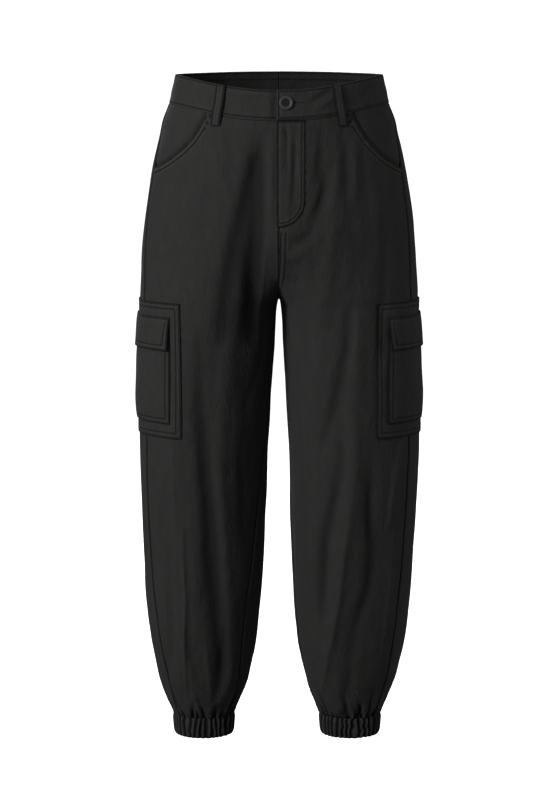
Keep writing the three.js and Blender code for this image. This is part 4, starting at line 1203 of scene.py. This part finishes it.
def line_inside(obj, b):
    """Gives the inner face of the waistband a darker copy of the twill as painted shade inside the waist, with a seam
    along it and dark edges painted as shade.
    """
    obj.data.materials.append(TWILL_INSIDE_SHADED)
    corners = np.empty(len(obj.data.loops), np.int32)
    obj.data.loops.foreach_get("vertex_index", corners)
    inside = (corners.reshape(-1, 4) >= b.size).all(axis=1)
    obj.data.polygons.foreach_set("material_index", inside.astype(np.int32))
    layer = obj.data.attributes["worn"].data
    worn = np.empty(len(layer), np.float32)
    layer.foreach_get("value", worn)
    # Painted shade: a dark line along the seam inside, for the shade of its groove.
    seam = np.exp(-(((b - LINING_SEAM) / 1.2) ** 2)).ravel()
    worn[b.size:] = np.minimum(worn[b.size:], -seam)
    layer.foreach_set("value", worn)


def cut(obj, *cutters):
    """Cuts shapes out of an object and removes them."""
    for cutter in cutters:
        step = obj.modifiers.new("cut", "BOOLEAN")
        step.operation, step.solver, step.object = "DIFFERENCE", "EXACT", cutter
    bpy.context.view_layer.update()
    whole = bpy.data.meshes.new_from_object(obj.evaluated_get(bpy.context.evaluated_depsgraph_get()))
    obj.modifiers.clear()
    obj.data = whole
    for cutter in cutters:
        bpy.data.objects.remove(cutter)


def primitive(kind, name, place, **sizes):
    getattr(bpy.ops.mesh, f"primitive_{kind}_add")(location=Vector(place) * MM, **sizes)
    obj = bpy.context.object
    obj.name = name
    return obj


SLIT_DEEP = 1.1  # how deep the slit goes into the outer ply, past the underlap
SLIT_OPEN_X = UNDERLAP_X - 2  # the slit goes through both plies as far as this


def buttonhole(band, piece):
    """A round eye under the button and a slit from it, cut through the waistband over the underlap."""
    y = -float(read(HIPS, "front", BUTTON_Z))
    eye = primitive("cylinder", "eye", (BUTTON_X, y, BUTTON_Z), radius=EYE_R * MM, depth=30 * MM, vertices=32,
                    rotation=(pi / 2, 0, 0))
    slit = primitive("cube", "slit", ((SLIT_OPEN_X + BUTTON_X) / 2, y, BUTTON_Z), size=MM)
    slit.scale = (SLIT_OPEN_X - BUTTON_X, 30, 2 * SLIT_HALF)
    sweep = sweep_of_x((SLIT_END_X + SLIT_OPEN_X) / 2, BUTTON_Z)
    a, b = sweep * BAND_RADIUS, rim_z(sweep) - BUTTON_Z
    surface, above = piece.place(a, b, piece.out(a, b)), piece.place(a, b, piece.out(a, b) + 1)
    facing = above - surface
    groove = primitive("cube", "groove", surface, size=MM, rotation=(0, 0, atan2(facing[0], -facing[1])))
    groove.scale = (SLIT_END_X - SLIT_OPEN_X, 2 * SLIT_DEEP, 2 * SLIT_HALF)
    cut(band, eye, slit, groove)


# Cargo pockets


def leg_place(side, top, taper=0):
    """Places on a patch on a leg's outside: across from its middle, and down from its top."""
    def place(a, b, out):
        z = top - b
        radius = (read(LEG, "half", z) + read(LEG, "depth", z)) / 2
        return cloth_point(side, POCKET_TURN + a / radius, z, out)

    return place


def patch_grid(half, height, rows, step=3.2, taper=0.0):
    """Places over a patch, closer at its edges and rows of stitches, and their distances from the edge."""
    a = (places_along(2 * half, rows, step) - half) / half
    b, a = np.meshgrid(places_along(height, rows, step), a, indexing="ij")
    wide = half - taper * b / height
    edge = np.minimum((1 - np.abs(a)) * wide, np.minimum(b, height - b))
    return a * wide, b, edge


def inset_line(half, height, inset, sides="lbrt", taper=0.0, points=60):
    """A row of stitches along some of a patch's sides, this far in from its edges."""
    top, low = half - inset, half - taper - inset
    left = [(-lerp(top, low, t), lerp(inset, height - inset, t)) for t in np.linspace(0, 1, points)]
    bottom = [(lerp(-low, low, t), height - inset) for t in np.linspace(0, 1, points)]
    right = [(lerp(low, top, t), lerp(height - inset, inset, t)) for t in np.linspace(0, 1, points)]
    over = [(lerp(top, -top, t), inset) for t in np.linspace(0, 1, points)]
    return np.array(sum((part for key, part in zip("lbrt", (left, bottom, right, over)) if key in sides), []))


BASE_OUT = ON_TOP + CLOTH + 0.15


def cargo_base(side):
    name = "cargo_base_" + side_name(side)
    height = BASE["top"] - BASE["bottom"]
    rows = [inset_line(BASE["half"], height, inset) for inset in (2, 8.4)]
    form = lambda a, b: ON_TOP + CLOTH + 0.25 * unevenness(a, b, 24, 41 + side)
    piece = Piece("cloth_" + name, leg_place(side, BASE["top"]), CLOTH, TWILL_POCKET, rows, form, edge_shade_and_highlight=True)
    return piece.build(*patch_grid(BASE["half"], height, (2, 8.4))), piece, rows


def cargo_bag(side):
    name = "cargo_pocket_" + side_name(side)
    height = BAG["top"] - BAG["bottom"]
    rows = [inset_line(BAG["half"], height, inset, "lbr") for inset in (1.8, 8)]

    def form(a, b):
        share, v = a / BAG["half"], b / height
        puff = BAG["puff"] * (1 - np.abs(share) ** 3.5) * smooth(v / 0.42) * (1 - clamp01((v - 0.62) / 0.38) ** 2.5)
        uneven = 0.7 * unevenness(a, b, 38, 51 + side) * (1 - np.abs(share) ** 4)
        return BASE_OUT + GAP + CLOTH + puff + uneven * smooth((1 - v) / 0.2)

    piece = Piece("cloth_" + name, leg_place(side, BAG["top"]), CLOTH, TWILL_POCKET, rows, form, edge_shade_and_highlight=True)
    return piece.build(*patch_grid(BAG["half"], height, (1.8, 8))), piece, rows


def cargo_flap(side):
    name = "cargo_flap_" + side_name(side)
    height = FLAP["top"] - FLAP["bottom"]
    rows = [inset_line(FLAP["half"], height, inset, "lbr", FLAP["taper"], 24) for inset in (2, 8)]
    rows.append(inset_line(FLAP["half"], height, 2.4, "t", FLAP["taper"]))

    def form(a, b):
        v = clamp01(b / height)
        corner = 0.8 * np.abs(a / FLAP["half"]) ** 6 * v
        return BASE_OUT + GAP + FLAP_CLOTH + FLAP["lift"] * v**0.8 + corner + 0.3 * unevenness(a, b, 19, 61 + side)

    piece = Piece("cloth_" + name, leg_place(side, FLAP["top"]), FLAP_CLOTH, TWILL_POCKET, rows, form, dip=0.4,
                  edge_shade_and_highlight=True)
    return piece.build(*patch_grid(FLAP["half"], height, (2, 8), 2.6, FLAP["taper"])), piece, rows


# Cuffs

CUFF_COLUMNS, CUFF_ROWS = 34 * 16, 22


def cuff(side):
    """A ring of doubled cloth that its elastic draws into uneven gathers."""
    name = "cuff_" + side_name(side)
    turn = np.linspace(0, tau, CUFF_COLUMNS, endpoint=False)
    v = np.linspace(0, 1, CUFF_ROWS)
    v, turn = np.meshgrid(v, turn, indexing="ij")
    z = lerp(LEG_END, CUFF_END, v)
    lean = LEAN * (LEAN_TOP - (LEG_END + CUFF_END) / 2) / (LEAN_TOP - CUFF_END)
    middle = side * read(LEG, "middle", LEG_END) + lean
    profile = np.interp(v, [0, 0.06, 0.2, 0.72, 0.86, 0.95, 1], [-1.2, -0.3, 0.4, -0.8, -1.7, -2.8, -4])
    slip = unevenness(turn * 40, v * 9, 12, 71 + side) + 0.8 * unevenness(turn * 40, v * 30, 7, 73 + side)
    slip *= np.sin(turn / 2) ** 0.5
    wave = CUFF_GATHERS * turn + 0.8 * np.sin(4 * turn + side) + 0.5 * np.sin(9 * turn) + 1.5 * slip
    valley = 1 - np.abs(np.sin(wave / 2)) ** 1.8
    size = 3.4 + 1.5 * unevenness(turn * 40, v * 8, 11, 75 + side)
    fade = smooth(v / 0.1) * (0.6 + 0.4 * smooth((1 - v) / 0.1))
    out = profile + 0.5 - size * (0.3 + 0.7 * fade) * valley
    thick = 1.2

    def ring(out):
        half, depth = read(LEG, "half", LEG_END) + out, read(LEG, "depth", LEG_END) + out
        x = middle - half * np.cos(turn)
        y = read(LEG, "middle_y", LEG_END) - depth * np.sin(turn)
        return np.stack([x, y, z], -1)

    around = turn * 45
    # Painted light: the gathers' valleys are painted darker as shade and their crests lighter as highlight.
    obj = shell("cloth_" + name, ring(out), ring(out - thick), np.stack([around, z], -1), TWILL_CUFF_SHADED,
                worn=0.7 - 2.2 * valley, closed=True)
    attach(obj, "root")
    return obj


# Belt loops


def belt_loop(name):
    side, sweep = LOOPS[name]
    middle = radians(sweep)
    top, edge_z = float(rim_z(middle)) - 1, float(band_bottom_z(middle))
    bottom = edge_z - LOOP_BELOW
    length = top - bottom
    place_z = lambda b: top - b

    def form(a, b):
        z, v = place_z(b), clamp01(b / length)
        on_band, on_panel = BAND_PROUD + GAP + LOOP_CLOTH, GAP + LOOP_CLOTH
        flat = lerp(on_panel, on_band, smooth((z - edge_z + 12) / 10))
        lift = LOOP_LIFT * np.sin(pi * clamp01(v / 0.97)) ** 0.6
        crown = 0.35 * (1 - smooth((np.abs(a) - 3) / 3.5))
        return flat + lift + crown + 0.15 * unevenness(a, b, 9, 81)

    def place(a, b, out):
        z = place_z(b)
        radius = (read(HIPS, "half", z) + read(HIPS, "front", z)) / 2
        round_it = middle + side * a / radius
        n = outward(side, hip_point, round_it, z)
        return hip_point(side, round_it, z) + n * out[..., None]

    rows = [np.array([(a, b) for b in np.linspace(1.5, length - 1.5, 30)]) for a in (-5, 5)]
    piece = Piece("cloth_" + name, place, LOOP_CLOTH, TWILL_BODY, rows, form, dip=0.3, pucker=0.15, edge_shade_and_highlight=True)
    obj = piece.build(*patch_grid(LOOP_HALF, length, (2,), 1.5))
    tacks = [np.array([(-5.6, b), (5.6, b)]) for b in (1.6, 2.4, 3.2, length - 3.2, length - 2.4, length - 1.6)]
    return obj, piece, rows + tacks


# Button


def button():
    """A dished disc with four holes on a stem."""
    profile = np.array([
        (0, -3.3), (1.7, -3.3), (1.7, 0), (BUTTON_R - 1.4, 0), (BUTTON_R - 0.5, 0.25), (BUTTON_R, 0.9),
        (BUTTON_R, 1.7), (BUTTON_R - 0.4, 2.3), (BUTTON_R - 1.2, 2.6), (BUTTON_R - 2.2, 2.55),
        (BUTTON_R - 3, 2.1), (BUTTON_R - 3.6, 1.7), (BUTTON_R - 5, 1.55), (0, 1.5),
    ])
    steps = 64
    angle = np.linspace(0, tau, steps, endpoint=False)
    ring = np.stack([profile[:, :1] * np.cos(angle), profile[:, :1] * np.sin(angle),
                     np.repeat(profile[:, 1:], steps, axis=1)], -1)
    index = np.arange(len(profile) * steps).reshape(len(profile), steps)
    index = np.concatenate([index, index[:, :1]], axis=1)
    obj = make_mesh("button_disc", ring.reshape(-1, 3), quads(index)[:, ::-1], ring.reshape(-1, 3)[:, :2], BUTTON)
    weld = obj.modifiers.new("weld", "WELD")
    weld.merge_threshold = 0.00002
    holes = []
    for dx, dy in ((1, 1), (1, -1), (-1, 1), (-1, -1)):
        holes.append(primitive("cylinder", "hole", (1.75 * dx, 1.75 * dy, 1.6), radius=0.85 * MM, depth=1.3 * MM,
                               vertices=20))
    cut(obj, *holes)
    obj.data.polygons.foreach_set("use_smooth", np.ones(len(obj.data.polygons), bool))
    edges = obj.modifiers.new("crisp", "EDGE_SPLIT")
    edges.split_angle = radians(40)
    sweep = float(sweep_of_x(BUTTON_X, BUTTON_Z))
    z = np.array(float(BUTTON_Z))
    n = outward(1, hip_point, np.array(sweep), z)
    centre = hip_point(1, np.array(sweep), z) + n * (BAND_PROUD + GAP + 0.3)
    turned = Vector((0, 0, 1)).rotation_difference(Vector(n)).to_matrix().to_4x4()
    turned.translation = Vector(centre) * MM
    obj.data.transform(turned)
    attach(obj, "root")
    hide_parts("button")
    return obj, turned


def button_thread(turned):
    """Two short bundles of thread between the button's holes."""
    rows = []
    for dx in (-1.75, 1.75):
        for k in (-0.4, 0, 0.4):
            at = np.array([-1.9, -0.9, 0.9, 1.9])
            height = np.array([0.9, 1.95, 1.95, 0.9])
            ring = []
            for t in (0, pi / 2, pi, 3 * pi / 2):
                x = dx + k + 0.28 * cos(t)
                ring.append(np.stack([np.full(4, x), at, height + 0.28 * sin(t)], -1))
            rows.append(np.stack(ring, axis=1)[None])
    obj = thread("button_thread", rows, THREAD)
    obj.data.transform(turned)
    return obj


# Putting the trousers together


def declare(obj, node):
    """Hides the solid part that a piece stands for."""
    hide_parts(node)


def sew_all():
    for word, side in SIDES.items():
        obj, piece, rows = front_panel(side)
        declare(obj, "front_panel_" + word)
        thread("topstitch_front_" + word, [stitch_points(piece, row) for row in rows], THREAD)
        obj, piece, rows = back_panel(side)
        declare(obj, "back_panel_" + word)
        thread("topstitch_back_" + word, [stitch_points(piece, row) for row in rows], THREAD)
        declare(hip_facing(side), "hip_pocket_facing_" + word)
        obj, piece, rows = cargo_base(side)
        declare(obj, "cargo_base_" + word)
        sewn = [stitch_points(piece, row) for row in rows]
        obj, piece, rows = cargo_bag(side)
        declare(obj, "cargo_pocket_" + word)
        sewn += [stitch_points(piece, row) for row in rows]
        obj, piece, rows = cargo_flap(side)
        declare(obj, "cargo_flap_" + word)
        sewn += [stitch_points(piece, row) for row in rows]
        thread("topstitch_cargo_" + word, sewn, THREAD)
        declare(cuff(side), "cuff_" + word)
        obj, piece, rows = waistband(side)
        if side > 0:
            buttonhole(obj, piece)
        declare(obj, "waistband_" + word)
        thread("topstitch_waistband_" + word, [stitch_points(piece, row) for row in rows], THREAD)
    obj, piece, rows = fly_lap()
    declare(obj, "fly_lap")
    thread("topstitch_fly", [stitch_points(piece, row) for row in rows], THREAD)
    sewn = []
    for name in LOOPS:
        obj, piece, rows = belt_loop(name)
        declare(obj, name)
        sewn += [stitch_points(piece, row) for row in rows]
    thread("topstitch_belt_loops", sewn, THREAD)
    _, turned = button()
    button_thread(turned)


# Camera, light and stage

AIM = (-3, 0, -465)
CAMERA_DISTANCE, CAMERA_RISE = 3807, radians(8.03)
FOCAL = 2538 / 800 * 36


def add_camera():
    camera = bpy.data.objects.new("camera", bpy.data.cameras.new("camera"))
    camera.data.lens, camera.data.sensor_width = FOCAL, 36
    camera.data.clip_end = 50
    back = Vector((0, -cos(CAMERA_RISE), sin(CAMERA_RISE)))
    camera.location = (Vector(AIM) + back * CAMERA_DISTANCE) * MM
    camera.rotation_euler = (pi / 2 - CAMERA_RISE, 0, 0)
    bpy.context.scene.collection.objects.link(camera)
    bpy.context.scene.camera = camera


FLOOR_Z = -1250
STAGE_R, STAGE_BEND, STAGE_HIGH = 9000, 2000, 7000


def add_light(name, place, size, power, aim=(0, 0, -0.45)):
    light = bpy.data.lights.new(name, "AREA")
    light.shape, light.size, light.energy = "DISK", size, power
    obj = bpy.data.objects.new(name, light)
    obj.location = place
    obj.rotation_euler = (Vector(place) - Vector(aim)).to_track_quat("Z", "Y").to_euler()
    bpy.context.scene.collection.objects.link(obj)


def add_stage():
    """A pale floor that sweeps up into a backdrop all round. It glows evenly, and lamps alone light the cloth."""
    bends = np.linspace(0, pi / 2, 12)
    reach = np.concatenate([[1], STAGE_R - STAGE_BEND + STAGE_BEND * np.sin(bends), [STAGE_R]])
    height = np.concatenate([[0], STAGE_BEND - STAGE_BEND * np.cos(bends), [STAGE_HIGH]])
    turn = np.linspace(0, tau, 49)
    points = np.stack([reach[:, None] * np.cos(turn), reach[:, None] * np.sin(turn),
                       np.repeat(FLOOR_Z + height[:, None], 49, axis=1)], -1).reshape(-1, 3)
    index = np.arange(len(points)).reshape(len(reach), 49)
    material, nodes, links, shader = new_material("stage_paper", (0.93, 0.93, 0.925), 0.9, 0.1)
    grain = add_node(nodes, "ShaderNodeTexNoise", (-600, 0), Scale=3, Detail=3)
    ramp = add_node(nodes, "ShaderNodeValToRGB", (-380, 0))
    ramp.color_ramp.elements[0].color = (0.92, 0.92, 0.915, 1)
    ramp.color_ramp.elements[1].color = (0.95, 0.95, 0.945, 1)
    links.new(grain.outputs["Fac"], ramp.inputs["Fac"])
    links.new(ramp.outputs["Color"], shader.inputs["Base Color"])
    shader.inputs["Emission Color"].default_value = (1, 1, 1, 1)
    shader.inputs["Emission Strength"].default_value = 0.95
    stage = make_mesh("stage", points, quads(index), points[:, :2], material)
    stage.visible_diffuse = stage.visible_glossy = False


def add_world():
    world = bpy.data.worlds.new("studio")
    world.use_nodes = True
    world.node_tree.nodes["Background"].inputs["Color"].default_value = (1, 1, 1, 1)
    world.node_tree.nodes["Background"].inputs["Strength"].default_value = 0.2
    bpy.context.scene.world = world


add_camera()
add_stage()
add_world()
add_light("key", (-2.15, -2.1, 0.66), 1.0, 140)
add_light("front", (-0.6, -4.2, 1.3), 1.6, 38)
add_light("fill", (3.3, 0.3, 0.2), 1.2, 46)
add_light("back", (-1.4, 3.9, 1.3), 1.6, 110)
bpy.context.scene.view_settings.view_transform = "Standard"

sew_all()
